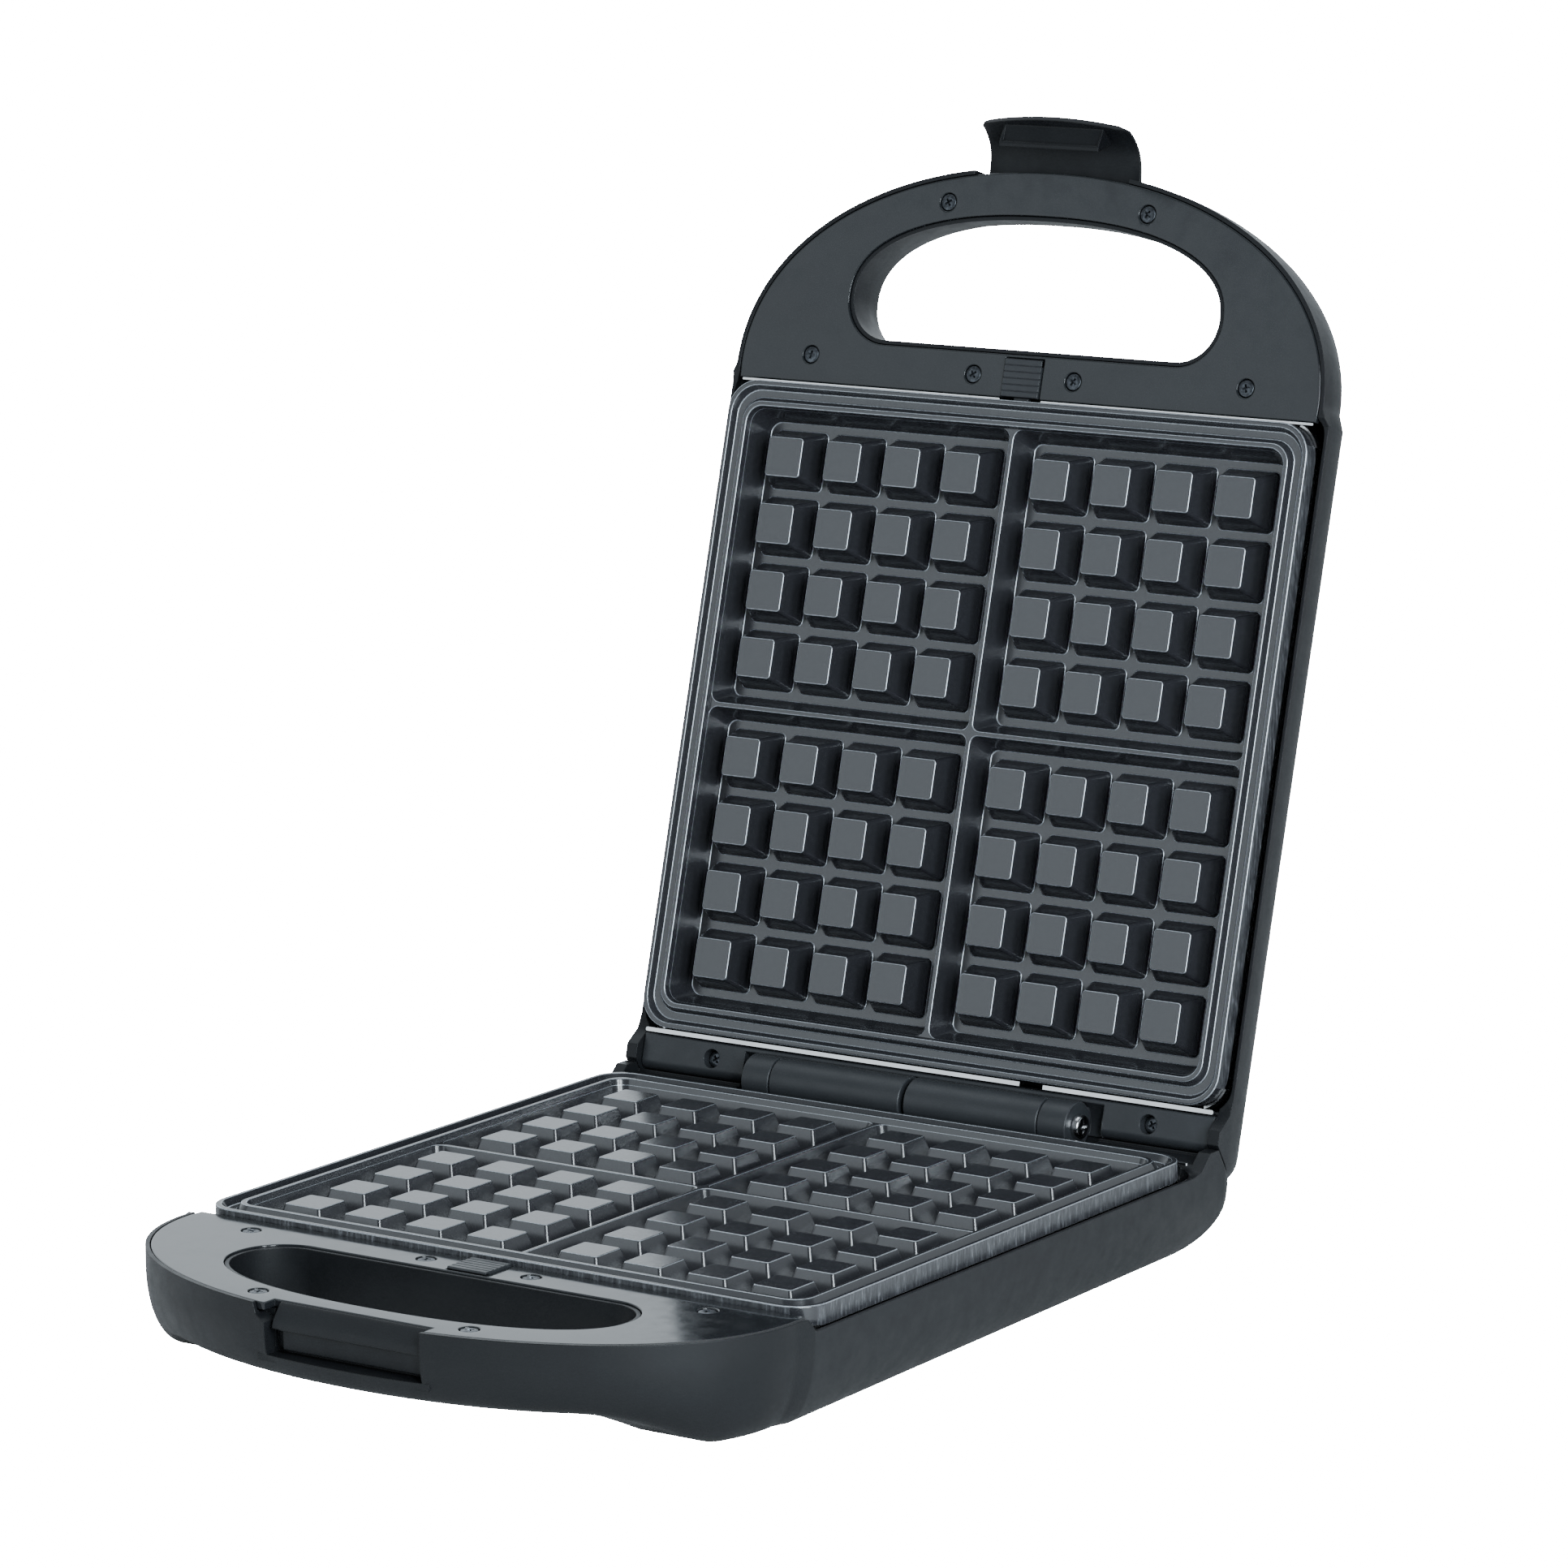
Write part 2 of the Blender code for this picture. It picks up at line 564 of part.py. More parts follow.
def base_casing(parent):
    half = BASE
    part = casing(half)
    front = HANDLE_CENTRE_Y - HANDLE_REACH
    half_x, back, floor = RECESS_HALF_X, RECESS_BACK_Y, -RECESS_DEPTH
    under_cover = half.cover_z - COVER_THICK - GAP
    recess = box("recess", (-half_x, front - 0.01, floor), (half_x, back, 0.01))
    wall_x = half_x + 0.0024
    join(
        part,
        box("recess_back", (-wall_x, back - 0.001, floor - WALL), (wall_x, back + 0.0012, under_cover)),
    )
    join(part, box("recess_floor", (-wall_x, -0.1995, floor - WALL), (wall_x, back, floor)))
    for side in (-1, 1):
        low_x, high_x = sorted((side * half_x, side * wall_x))
        join(part, box("recess_side", (low_x, -0.1990, floor - WALL), (high_x, back, under_cover)))
    cut(part, recess)
    front, rear, low = back - 0.0005, back + 0.0005, under_cover - 0.0022
    lip = [(front, -0.0014), (CATCH_Y, -0.0019), (CATCH_Y, -0.0026), (front - 0.0002, -0.0029)]
    root = [(front - 0.0002, low), (rear, low), (rear, under_cover - 0.0004), (front, under_cover - 0.0004)]
    catch = [*lip, *root]
    join(part, side_prism("catch", catch, -CATCH_HALF_X, CATCH_HALF_X))
    barrel_slots = [
        box(
            "slot",
            (min(side * BARREL_IN_X, side * BARREL_OUT_X) - GAP, HINGE_Y - 0.0043, -0.0128),
            (max(side * BARREL_IN_X, side * BARREL_OUT_X) + GAP, HINGE_Y + 0.0043, 0.0),
        )
        for side in (-1, 1)
    ]
    cut(part, *barrel_slots)
    gland = rod("gland_hole", (GLAND_X, 0.1200, GLAND_Z), (GLAND_X, 0.17, GLAND_Z), GLAND_R + GAP)
    cut(part, gland)
    for x, y in foot_spots():
        cut(part, rod("foot_hole", (x, y, -0.05), (x, y, -0.02), PLUG_R + GAP, segments=12))
    return finish_part(part, BLACK_PLASTIC, parent)


def lid_casing(parent):
    half = LID
    part = casing(half)
    seat = box(
        "cover_seat", (-EAR_HALF_X, OPENING_REAR_Y - 0.004, -0.0100), (EAR_HALF_X, HINGE_Y + 0.0030, 0.02),
    )
    notch_floor = LATCH_Z - LATCH_KNUCKLE_R - 0.0010
    notch = box("notch", (-LATCH_NOTCH_HALF_X, -0.23, notch_floor), (LATCH_NOTCH_HALF_X, -0.1915, 0.02))
    cut(part, seat)
    for side in (-1, 1):
        low_x, high_x = sorted((side * (LATCH_NOTCH_HALF_X - 0.0005), side * (LATCH_NOTCH_HALF_X + 0.0024)))
        low = (low_x, -0.1996, -half.handle_belly + 0.0030)
        join(part, box("latch_web", low, (high_x, -0.1880, half.cover_z - COVER_THICK - GAP)))
    join(
        part, box("notch_back", (-0.0344, -0.1920, -half.handle_belly + 0.0010), (0.0344, -0.1895, -0.0060)),
    )
    join(
        part,
        box(
            "notch_floor",
            (-0.0344, -0.1985, -half.handle_belly + 0.0010),
            (0.0344, -0.1897, notch_floor + 0.0005),
        ),
    )
    cut(part, notch)
    pin_hole = rod(
        "pin_hole", (-0.0335, LATCH_Y, LATCH_Z), (0.0335, LATCH_Y, LATCH_Z), LATCH_PIN_R + GAP, segments=12,
    )
    cut(part, pin_hole)
    for side in (-1, 1):
        x = side * LENS_X
        cut(part, rod("lens_hole", (x, LENS_Y, -0.05), (x, LENS_Y, -0.01), LENS_R + GAP, segments=16))
    for side in (-1, 1):
        x = side * HINGE_SCREW_X
        cut(
            part,
            rod(
                "pilot",
                (x, HINGE_SCREW_Y, -0.0190),
                (x, HINGE_SCREW_Y, 0.0),
                SCREW_SHANK_R + GAP,
                segments=6,
            ),
        )
    return finish_part(part, BLACK_PLASTIC, parent)


# --- Handle covers and their screws ------------------------------------------------------------
def screw_spots(half=BASE):
    """Handle screw centres, left before right as the user sees them."""
    return [(side * half.mirror_x * x, y) for x, y in SCREW_SPOTS for side in (-1, 1)]


def foot_spots():
    return [(side * x, y) for x, y in FOOT_SPOTS for side in (-1, 1)]


def handle_cover(half, parent):
    """The flat inner cover of a handle, round its hole, with counterbored screw holes."""
    arc = handle_arc(RIM_INSET + COVER_INSET)
    shoulder = HANDLE_HALF_X - RIM_INSET - COVER_INSET
    outline = [*arc, (shoulder, COVER_REAR_Y), (-shoulder, COVER_REAR_Y)]
    top = half.cover_z
    part = prism(half.name + "_handle_cover", outline, top - COVER_THICK, top)
    tools = [
        prism("hole", hole_outline(0.0), top - 0.01, top + 0.01),
        box(
            "slide_slot",
            (-SLIDE_HALF_X - GAP, SLIDE_FRONT_Y - SLIDE_TRAVEL - 0.0007, top - 0.01),
            (SLIDE_HALF_X + GAP, -0.11, top + 0.01),
        ),
    ]
    if half is BASE:
        notch = (RECESS_HALF_X, RECESS_BACK_Y, top + 0.01)
        tools.append(box("catch_notch", (-RECESS_HALF_X, -0.22, top - 0.01), notch))
    for x, y in screw_spots():
        tools.append(rod("bore", (x, y, top - 0.01), (x, y, top + 0.01), SCREW_SHANK_R + GAP, segments=6))
        head_room = top - SCREW_HEAD_H - GAP
        tools.append(
            rod("counterbore", (x, y, head_room), (x, y, top + 0.01), SCREW_HEAD_R + GAP, segments=12)
        )
    cut(part, *tools)
    return finish_part(part, COVER_PLASTIC, parent)


def screw(name, x, y, head_top, parent):
    """Cross-head screw pointing down, its head's top at head_top."""
    head_low = head_top - SCREW_HEAD_H
    part = rod(name, (x, y, head_low), (x, y, head_top), SCREW_HEAD_R, SCREW_HEAD_R - 0.0004, segments=12)
    join(
        part,
        rod("shank", (x, y, head_top - SCREW_LENGTH), (x, y, head_low + 0.0004), SCREW_SHANK_R, segments=6),
    )
    for half_x, half_y in ((0.0018, 0.00035), (0.00035, 0.0018)):
        low = (x - half_x, y - half_y, head_top - 0.0007)
        cut(part, box("cross", low, (x + half_x, y + half_y, head_top + 0.001)))
    return finish_part(part, SCREW_STEEL, parent)


def handle_screws(half, parent):
    for number, (x, y) in enumerate(screw_spots(half), 1):
        screw(f"{half.name}_handle_screw_{number}", x, y, half.cover_z, parent)


# --- Plate release slides ----------------------------------------------------------------------
def release_slide(half, parent):
    """Ribbed button in the handle cover. Its tongue holds the waffle plate's front edge."""
    top = half.cover_z - 0.0006
    part = box(
        half.name + "_release_slide",
        (-SLIDE_HALF_X, SLIDE_FRONT_Y, top - 0.0030),
        (SLIDE_HALF_X, SLIDE_REAR_Y, top),
    )
    rib_pitch = (SLIDE_REAR_Y - SLIDE_FRONT_Y) / (SLIDE_RIBS + 0.5)
    for rib in range(SLIDE_RIBS):
        y = SLIDE_FRONT_Y + rib_pitch * (rib + 0.75)
        low, high = y - rib_pitch * 0.28, y + rib_pitch * 0.28
        join(
            part,
            box(
                "rib",
                (-SLIDE_HALF_X + 0.0003, low, top - 0.0005),
                (SLIDE_HALF_X - 0.0003, high, top + 0.0010),
            ),
        )
    join(
        part,
        box("tongue", (-0.0030, SLIDE_REAR_Y - 0.001, -0.0042), (0.0030, -PLATE_HALF_Y + 0.0016, -0.0022)),
    )
    join(part, box("spring_push", (-0.0040, -0.1262, top - 0.0090), (0.0040, -0.1222, top - 0.0028)))
    return finish_part(part, BLACK_PLASTIC, parent)


def release_spring(half, parent):
    """Compression spring between the slide and the handle hole's sleeve."""
    start, end, radius, turns, steps = -0.1266, -0.1352, 0.0022, 3, 8
    middle_z = half.cover_z - 0.0071
    curve = bpy.data.curves.new("spring", "CURVE")
    curve.dimensions = "3D"
    curve.bevel_depth = 0.00035
    curve.bevel_resolution = 1
    curve.use_fill_caps = True
    spline = curve.splines.new("POLY")
    count = turns * steps + 1
    spline.points.add(count - 1)
    for i in range(count):
        angle = 2 * math.pi * i / steps
        y = start + (end - start) * i / (count - 1)
        spline.points[i].co = (radius * math.cos(angle), y, middle_z + radius * math.sin(angle), 1)
    return finish_part(mesh_of_curve(half.name + "_release_spring", curve), SCREW_STEEL, parent)


def mesh_of_curve(name, curve):
    """The curve as one closed mesh."""
    guide = new_object(name + "_guide", curve, CUTTERS)
    bpy.context.view_layer.update()
    graph = bpy.context.evaluated_depsgraph_get()
    mesh_data = bpy.data.meshes.new_from_object(guide.evaluated_get(graph))
    bm = bmesh.new()
    bm.from_mesh(mesh_data)
    bmesh.ops.remove_doubles(bm, verts=bm.verts, dist=1e-6)
    bpy.data.objects.remove(guide)
    return from_bmesh(name, bm)


# --- Reflector trays and heating ---------------------------------------------------------------
def tray_ring(inset, z):
    outline = rounded_rectangle(TRAY_HALF_X - inset, -TRAY_HALF_Y + inset, TRAY_HALF_Y - inset, 0.0110)
    return [(x, y, z) for x, y in outline]


def tray_floor(half):
    return -chamber_wall(half, CHAMBER_SHARES[-1])[0]


def reflector_tray(half, parent):
    """Bright pressed pan round the element, with a turned-out lip at the hinge side."""
    rim = TRAY_LIP_Z - 0.0012
    floor = tray_floor(half)
    walls = [chamber_wall(half, share) for share in CHAMBER_SHARES]
    outside = [tray_ring(0.0, rim), *[tray_ring(inset, -depth) for depth, inset in walls]]
    inside = [tray_ring(inset + TRAY_SHEET, -depth + TRAY_SHEET) for depth, inset in walls]
    inside.insert(0, tray_ring(TRAY_SHEET, rim))
    part = loft(half.name + "_reflector_tray", [*outside, *reversed(inside)])
    open_tray(part)
    lip = box(
        "lip",
        (-TRAY_LIP_HALF_X, TRAY_HALF_Y - TRAY_SHEET * 0.9, TRAY_LIP_Z - TRAY_SHEET),
        (TRAY_LIP_HALF_X, TRAY_LIP_Y, TRAY_LIP_Z),
    )
    stem = box(
        "stem",
        (-TRAY_LIP_HALF_X + 0.010, TRAY_HALF_Y - TRAY_SHEET * 0.9, rim - 0.002),
        (TRAY_LIP_HALF_X - 0.010, TRAY_HALF_Y - 0.0001, TRAY_LIP_Z - 0.0002),
    )
    low, high = sorted(half.mirror_x * place for place in TRAY_NOTCH)
    join(part, stem, lip)
    cut(part, box("lip_notch", (low, TRAY_HALF_Y + 0.0001, rim - 0.001), (high, 0.13, 0.01)))
    cut(part, box("tongue_notch", (-0.0036, -0.1220, -0.0046), (0.0036, -0.1180, 0.01)))
    for x in (-0.0120, 0.0120):
        cut(
            part,
            rod(
                "lead_hole",
                (x, 0.0950, floor - 0.01),
                (x, 0.0950, floor + 0.01),
                ELEMENT_R + GAP,
                segments=16,
            ),
        )
    return finish_part(part, BRIGHT_STEEL, parent)


def open_tray(part):
    """The loft's first and last rings are one rim: bridge them in place of the two caps."""
    bm = bmesh.new()
    bm.from_mesh(part.data)
    caps = [face for face in bm.faces if len(face.verts) > 4]
    bmesh.ops.delete(bm, geom=[f for f in caps if f.verts[0].co.z > -0.01], context="FACES_ONLY")
    edges = [e for e in bm.edges if e.is_boundary]
    bmesh.ops.bridge_loops(bm, edges=edges)
    bmesh.ops.recalc_face_normals(bm, faces=bm.faces)
    bm.to_mesh(part.data)
    bm.free()


def element_route():
    """Centre line of the heating tube: down through the tray, round one loop, and down again."""
    points = [(-0.0120, 0.0950, -0.0262), (-0.0120, 0.0950, ELEMENT_Z - 0.004)]
    turns = (
        (-ELEMENT_HALF_X, ELEMENT_HALF_Y, 90, 180),
        (-ELEMENT_HALF_X, -ELEMENT_HALF_Y, 180, 270),
        (ELEMENT_HALF_X, -ELEMENT_HALF_Y, 270, 360),
        (ELEMENT_HALF_X, ELEMENT_HALF_Y, 0, 90),
    )
    points += [(-0.0125, 0.0940, ELEMENT_Z - 0.001), (-0.0145, 0.0915, ELEMENT_Z)]
    for x, y, start, end in turns:
        for step in range(6):
            angle = math.radians(start + (end - start) * step / 5)
            points.append(
                (x + ELEMENT_BEND * math.cos(angle), y + ELEMENT_BEND * math.sin(angle), ELEMENT_Z)
            )
    points += [(0.0145, 0.0915, ELEMENT_Z), (0.0125, 0.0940, ELEMENT_Z - 0.001)]
    points += [(0.0120, 0.0950, ELEMENT_Z - 0.004), (0.0120, 0.0950, -0.0262)]
    return points


def heating_element(half, parent):
    curve = bpy.data.curves.new("element", "CURVE")
    curve.dimensions = "3D"
    curve.bevel_depth = ELEMENT_R
    curve.bevel_resolution = 1
    curve.use_fill_caps = True
    route = element_route()
    spline = curve.splines.new("POLY")
    spline.points.add(len(route) - 1)
    for point, place in zip(spline.points, route):
        point.co = (*place, 1)
    return finish_part(mesh_of_curve(half.name + "_heating_element", curve), ELEMENT_STEEL, parent)


def thermostat(half, parent):
    """Snap-disc thermostat under the tray's floor."""
    top = tray_floor(half) - GAP
    depth = 0.0044 if half is BASE else 0.0030
    name = half.name + ("_thermostat" if half is BASE else "_thermal_fuse")
    part = rod(name, (0.0, 0.0300, top - depth), (0.0, 0.0300, top), 0.0080, segments=20)
    for side in (-1, 1):
        low_x, high_x = sorted((side * 0.0070, side * 0.0140))
        join(part, box("ear", (low_x, 0.0270, top - 0.0010), (high_x, 0.0330, top)))
    return finish_part(part, CERAMIC, parent)


# --- Hinge -------------------------------------------------------------------------------------
def hinge_barrel(side, parent):
    """Bored hinge barrel of the base, its foot let into the casing."""
    name = "base_hinge_barrel_" + ("left" if side < 0 else "right")
    inner, outer = side * BARREL_IN_X, side * BARREL_OUT_X
    axis = hinge_z(BASE)
    part = rod(name, (inner, HINGE_Y, axis), (outer, HINGE_Y, axis), BARREL_R, segments=24)
    low, high = sorted((inner, outer))
    join(part, box("foot", (low, HINGE_Y - 0.0040, -0.0125), (high, HINGE_Y + 0.0040, axis - 0.005)))
    bore_in = side * (BARREL_OUT_X - 0.0200)
    bore_out = side * (BARREL_OUT_X + 0.0010)
    cut(part, rod("bore", (bore_in, HINGE_Y, axis), (bore_out, HINGE_Y, axis), BARREL_BORE_R, segments=24))
    return finish_part(part, BLACK_PLASTIC, parent)


def hinge_pin(side, parent):
    """Shouldered hinge screw of the lid, through its collar into the base's barrel."""
    name = "hinge_pin_" + ("left" if side < 0 else "right")
    axis = hinge_z(LID)
    turn = side * LID.mirror_x
    tip = turn * (BARREL_OUT_X - 0.0190)
    head_in, head_out = turn * (COLLAR_OUT_X + GAP), turn * (COLLAR_OUT_X + 0.0022)
    part = rod(name, (tip, HINGE_Y, axis), (head_in, HINGE_Y, axis), PIN_R, segments=24)
    join(
        part, rod("head", (head_in, HINGE_Y, axis), (head_out, HINGE_Y, axis), 0.0045, 0.0040, segments=20),
    )
    low, high = sorted((head_out - turn * 0.0010, head_out + turn * 0.001))
    for half_y, half_z in ((0.0024, 0.0005), (0.0005, 0.0024)):
        cross = box(
            "cross", (low, HINGE_Y - half_y, axis - half_z), (high, HINGE_Y + half_y, axis + half_z),
        )
        cut(part, cross)
    return finish_part(part, BRIGHT_STEEL, parent)


def lid_hinge_cover(parent):
    """Moulded bar along the lid's rear edge that carries the two hinge collars."""
    axis = hinge_z(LID)
    low, top = -0.0097, REAR_DECK
    front, rear = OPENING_REAR_Y + GAP, HINGE_Y + 0.0027
    half_x = EAR_HALF_X - GAP
    round_over = [(rear - 0.0070 * (1 - math.sin(a)), top - 0.0070 * (1 - math.cos(a))) for a in QUARTER]
    outline = [(front, low), (front, top), *round_over, (rear, low)]
    part = side_prism("lid_hinge_cover", outline, -half_x, half_x)
    reach = POCKET_OUT_X
    clear = rod("clear", (-reach, HINGE_Y, axis), (reach, HINGE_Y, axis), TROUGH_R, segments=24)
    cut(part, clear)
    for side in (-1, 1):
        inner, outer = side * COLLAR_IN_X, side * COLLAR_OUT_X
        collar = rod("collar", (inner, HINGE_Y, axis), (outer, HINGE_Y, axis), BARREL_R, segments=24)
        foot_low, foot_high = sorted((inner, outer))
        foot = box("foot", (foot_low, front, low), (foot_high, HINGE_Y + 0.0025, axis - 0.0060))
        join(part, join(collar, foot))
        hole_in, hole_out = side * (COLLAR_IN_X - 0.001), side * (COLLAR_OUT_X + 0.001)
        cut(
            part,
            rod("pin_hole", (hole_in, HINGE_Y, axis), (hole_out, HINGE_Y, axis), PIN_R + GAP, segments=16),
        )
        x = side * HINGE_SCREW_X
        cut(
            part,
            rod(
                "bore", (x, HINGE_SCREW_Y, -0.02), (x, HINGE_SCREW_Y, 0.02), SCREW_SHANK_R + GAP, segments=6,
            ),
        )
        cut(
            part,
            rod(
                "sink",
                (x, HINGE_SCREW_Y, -0.0070),
                (x, HINGE_SCREW_Y, 0.02),
                SCREW_HEAD_R + GAP,
                segments=12,
            ),
        )
    return finish_part(part, BLACK_PLASTIC, parent)


def hinge_cover_screws(parent):
    for side, word in ((-1, "left"), (1, "right")):
        name = "lid_hinge_cover_screw_" + word
        screw(
            name, side * LID.mirror_x * HINGE_SCREW_X, HINGE_SCREW_Y, -0.0070 + GAP + SCREW_HEAD_H, parent,
        )


# --- Latch -------------------------------------------------------------------------------------
def latch_clip(parent):
    """Curved clip on a pin in the lid's handle, drawn folded out. Its hook catches in the base."""
    rings = []
    for step in range(13):
        share = step / 12
        half_x = LATCH_HALF_X - 0.0010 * (1 - share)
        (low_y, low_z), (high_y, high_z) = latch_sheet(share)
        rings.append(
            [
                (-half_x, low_y, low_z),
                (half_x, low_y, low_z),
                (half_x, high_y, high_z),
                (-half_x, high_y, high_z),
            ]
        )
    part = loft("latch_clip", rings)
    end_x = LATCH_HALF_X - 0.0010
    join(part, rod("knuckle", (-end_x, 0, 0), (end_x, 0, 0), LATCH_KNUCKLE_R, segments=20))
    under, outer = latch_sheet(0.66)[0], latch_sheet(0.99)[0]
    edge = (LATCH_HOOK_Y, LATCH_HOOK_Z)
    hook = [under, outer, (edge[0] - 0.0015, edge[1]), edge]
    join(part, side_prism("hook", hook, -LATCH_HOOK_HALF_X, LATCH_HOOK_HALF_X))
    cut(part, rod("bore", (-0.05, 0, 0), (0.05, 0, 0), LATCH_PIN_R + 0.0001, segments=16))
    part.data.transform(Matrix.Translation((0, LATCH_Y, LATCH_Z)))
    return finish_part(part, COVER_PLASTIC, parent)


def latch_sheet(share):
    """The two faces of the clip's sheet, as (y, z) from the pin, this share of the way to its tip."""
    along = Vector((LATCH_TIP_Y, LATCH_TIP_Z))
    across = Vector((along.y, -along.x)).normalized()
    bend = LATCH_BULGE * math.pi / along.length * math.cos(math.pi * share)
    middle = along * share - across * LATCH_BULGE * math.sin(math.pi * share)
    normal = (across + along.normalized() * bend).normalized() * (LATCH_SHEET / 2)
    return tuple(middle - normal), tuple(middle + normal)


def latch_pin(parent):
    reach = 0.0332
    part = rod("latch_pin", (-reach, LATCH_Y, LATCH_Z), (reach, LATCH_Y, LATCH_Z), LATCH_PIN_R, segments=16)
    return finish_part(part, BRIGHT_STEEL, parent)


# --- Small pieces ------------------------------------------------------------------------------
def foot(number, x, y, parent):
    """Rubber foot with a plug that presses into the casing's floor."""
    top = -BASE.belly - GAP
    low = -PEG_PLANE_Z
    part = rod(f"foot_{number}", (x, y, low), (x, y, top), FOOT_R - FOOT_TAPER, FOOT_R, segments=20)
    join(part, rod("plug", (x, y, top - 0.001), (x, y, top + PLUG_H), PLUG_R, segments=12))
    return finish_part(part, RUBBER, parent)


def cord_gland(parent):
    """Bush in the base's rear wall, where the supply cord would enter."""
    outer, inner = 0.1530, 0.1345
    part = rod("cord_gland", (GLAND_X, inner, GLAND_Z), (GLAND_X, outer, GLAND_Z), GLAND_R, segments=24)
    cut(
        part,
        rod(
            "bore", (GLAND_X, inner - 0.01, GLAND_Z), (GLAND_X, outer + 0.01, GLAND_Z), 0.0036, segments=16,
        ),
    )
    return finish_part(part, RUBBER, parent)


def terminal_block(parent):
    part = box("terminal_block", (0.0300, 0.0550, -0.0285), (0.0560, 0.0700, tray_floor(BASE) - GAP))
    return finish_part(part, CERAMIC, parent)


def indicator_lens(name, x, spec, parent):
    """Round light pipe through the lid's outer face."""
    part = rod(name, (x, LENS_Y, LENS_OUT_Z), (x, LENS_Y, LENS_IN_Z), LENS_R, segments=16)
    return finish_part(part, spec, parent)


# --- Assembly ----------------------------------------------------------------------------------
def new_empty(name, location, rotation=(0, 0, 0), parent=None):
    made = bpy.data.objects.new(name, None)
    bpy.context.scene.collection.objects.link(made)
    made.location = location
    made.rotation_euler = rotation
    made.parent = parent
    return made


def build_half(half, parent):
    """The pieces that both halves have."""
    handle_cover(half, parent)
    handle_screws(half, parent)
    waffle_plate(half, parent)
    reflector_tray(half, parent)
    heating_element(half, parent)
    thermostat(half, parent)
    release_slide(half, parent)
    release_spring(half, parent)


def main():
    base_frame = new_empty("base_frame", (0, PLATE_CENTRE_Y, PEG_PLANE_Z))
    hinge = new_empty("lid_hinge_axis", (0, HINGE_Y, HINGE_RISE), (-OPEN_ANGLE, 0, 0), base_frame)
    closed_place = (0, -HINGE_Y, CLOSED_GAP - HINGE_RISE)
    lid_frame = new_empty("lid_frame", closed_place, (0, math.pi, 0), hinge)

    base_casing(base_frame)
    build_half(BASE, base_frame)
    for side in (-1, 1):
        hinge_barrel(side, base_frame)
    for number, (x, y) in enumerate(foot_spots(), 1):
        foot(number, x, y, base_frame)
    cord_gland(base_frame)
    terminal_block(base_frame)

    lid_casing(lid_frame)
    build_half(LID, lid_frame)
    lid_hinge_cover(lid_frame)
    hinge_cover_screws(lid_frame)
    for side in (-1, 1):
        hinge_pin(side, lid_frame)
    latch_clip(lid_frame)
    latch_pin(lid_frame)
    indicator_lens("power_lens", -LENS_X * LID.mirror_x, RED_LENS, lid_frame)
    indicator_lens("ready_lens", LENS_X * LID.mirror_x, GREEN_LENS, lid_frame)


for old in list(bpy.data.objects):
    bpy.data.objects.remove(old)
PARTS = bpy.data.collections.new("waffle_maker")
CUTTERS = bpy.data.collections.new("cutters")
for group in (PARTS, CUTTERS):
    bpy.context.scene.collection.children.link(group)
CUTTERS.hide_render = True
main()
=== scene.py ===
"""Looks of the four-slice waffle maker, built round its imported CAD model. Metres, +Z up.

Both halves are modelled in the CAD's half frame: the origin is the waffle plate's centre on the plane
of the pegs' tops, +Z points at the other half, +Y at the hinge, and the handle is at -Y. PLACE turns
that frame into the row frame for each half.
"""

import json
import math

import bmesh
import bpy
from mathutils import Matrix, Vector


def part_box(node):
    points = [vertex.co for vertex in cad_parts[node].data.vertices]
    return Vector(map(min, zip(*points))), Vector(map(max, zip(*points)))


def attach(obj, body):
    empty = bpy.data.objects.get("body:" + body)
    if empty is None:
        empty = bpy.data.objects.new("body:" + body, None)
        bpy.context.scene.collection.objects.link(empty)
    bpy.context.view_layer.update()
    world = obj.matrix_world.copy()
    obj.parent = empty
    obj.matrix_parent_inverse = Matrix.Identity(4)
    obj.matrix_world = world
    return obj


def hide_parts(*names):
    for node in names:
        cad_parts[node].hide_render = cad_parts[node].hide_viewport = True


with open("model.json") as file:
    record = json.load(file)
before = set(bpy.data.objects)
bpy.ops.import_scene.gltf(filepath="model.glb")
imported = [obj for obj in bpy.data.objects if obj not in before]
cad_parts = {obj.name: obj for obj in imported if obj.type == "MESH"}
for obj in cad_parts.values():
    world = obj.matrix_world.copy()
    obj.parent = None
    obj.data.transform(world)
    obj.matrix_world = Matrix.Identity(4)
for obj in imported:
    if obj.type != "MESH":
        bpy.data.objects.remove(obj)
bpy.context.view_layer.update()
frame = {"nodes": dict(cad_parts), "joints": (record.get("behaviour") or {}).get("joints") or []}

# --- Driving dimensions, in metres, as in the CAD ---
GAP = 0.0003
WALL = 0.0022
SIDES = ((-1, "left"), (1, "right"))
RIM_RISE = 0.0010
CLOSED_GAP = 0.0030

# Waffle plate
PITCH_X, PITCH_Y = 0.0250, 0.0245
CROSS_X, CROSS_Y = 0.0122, 0.0119
PEGS_PER_WAFFLE = 4
PEG_FOOT, PEG_TOP = 0.0110, 0.00725
PEG_FOOT_CORNER, PEG_TOP_CORNER = 0.0020, 0.0012
FLOOR_Z, CREST_Z = -0.0110, -0.00115
PLATE_HALF_X = 0.12015
FLOOR_OUT, FLOOR_IN, CREST_HALF = 0.1076, 0.0046, 0.0008
RIM_FOOT = 0.1108
DIVIDER_CORNER = 0.0036
PLATE_CORNER, CORNER_SHRINK, PLATE_CORNER_STEPS = 0.0115, 0.6, 8
SKIRT_Z = -0.0060
SKIRT_FROM_X, SKIRT_FROM_Y = 0.1195, 0.1182  # what lies outside is skirt

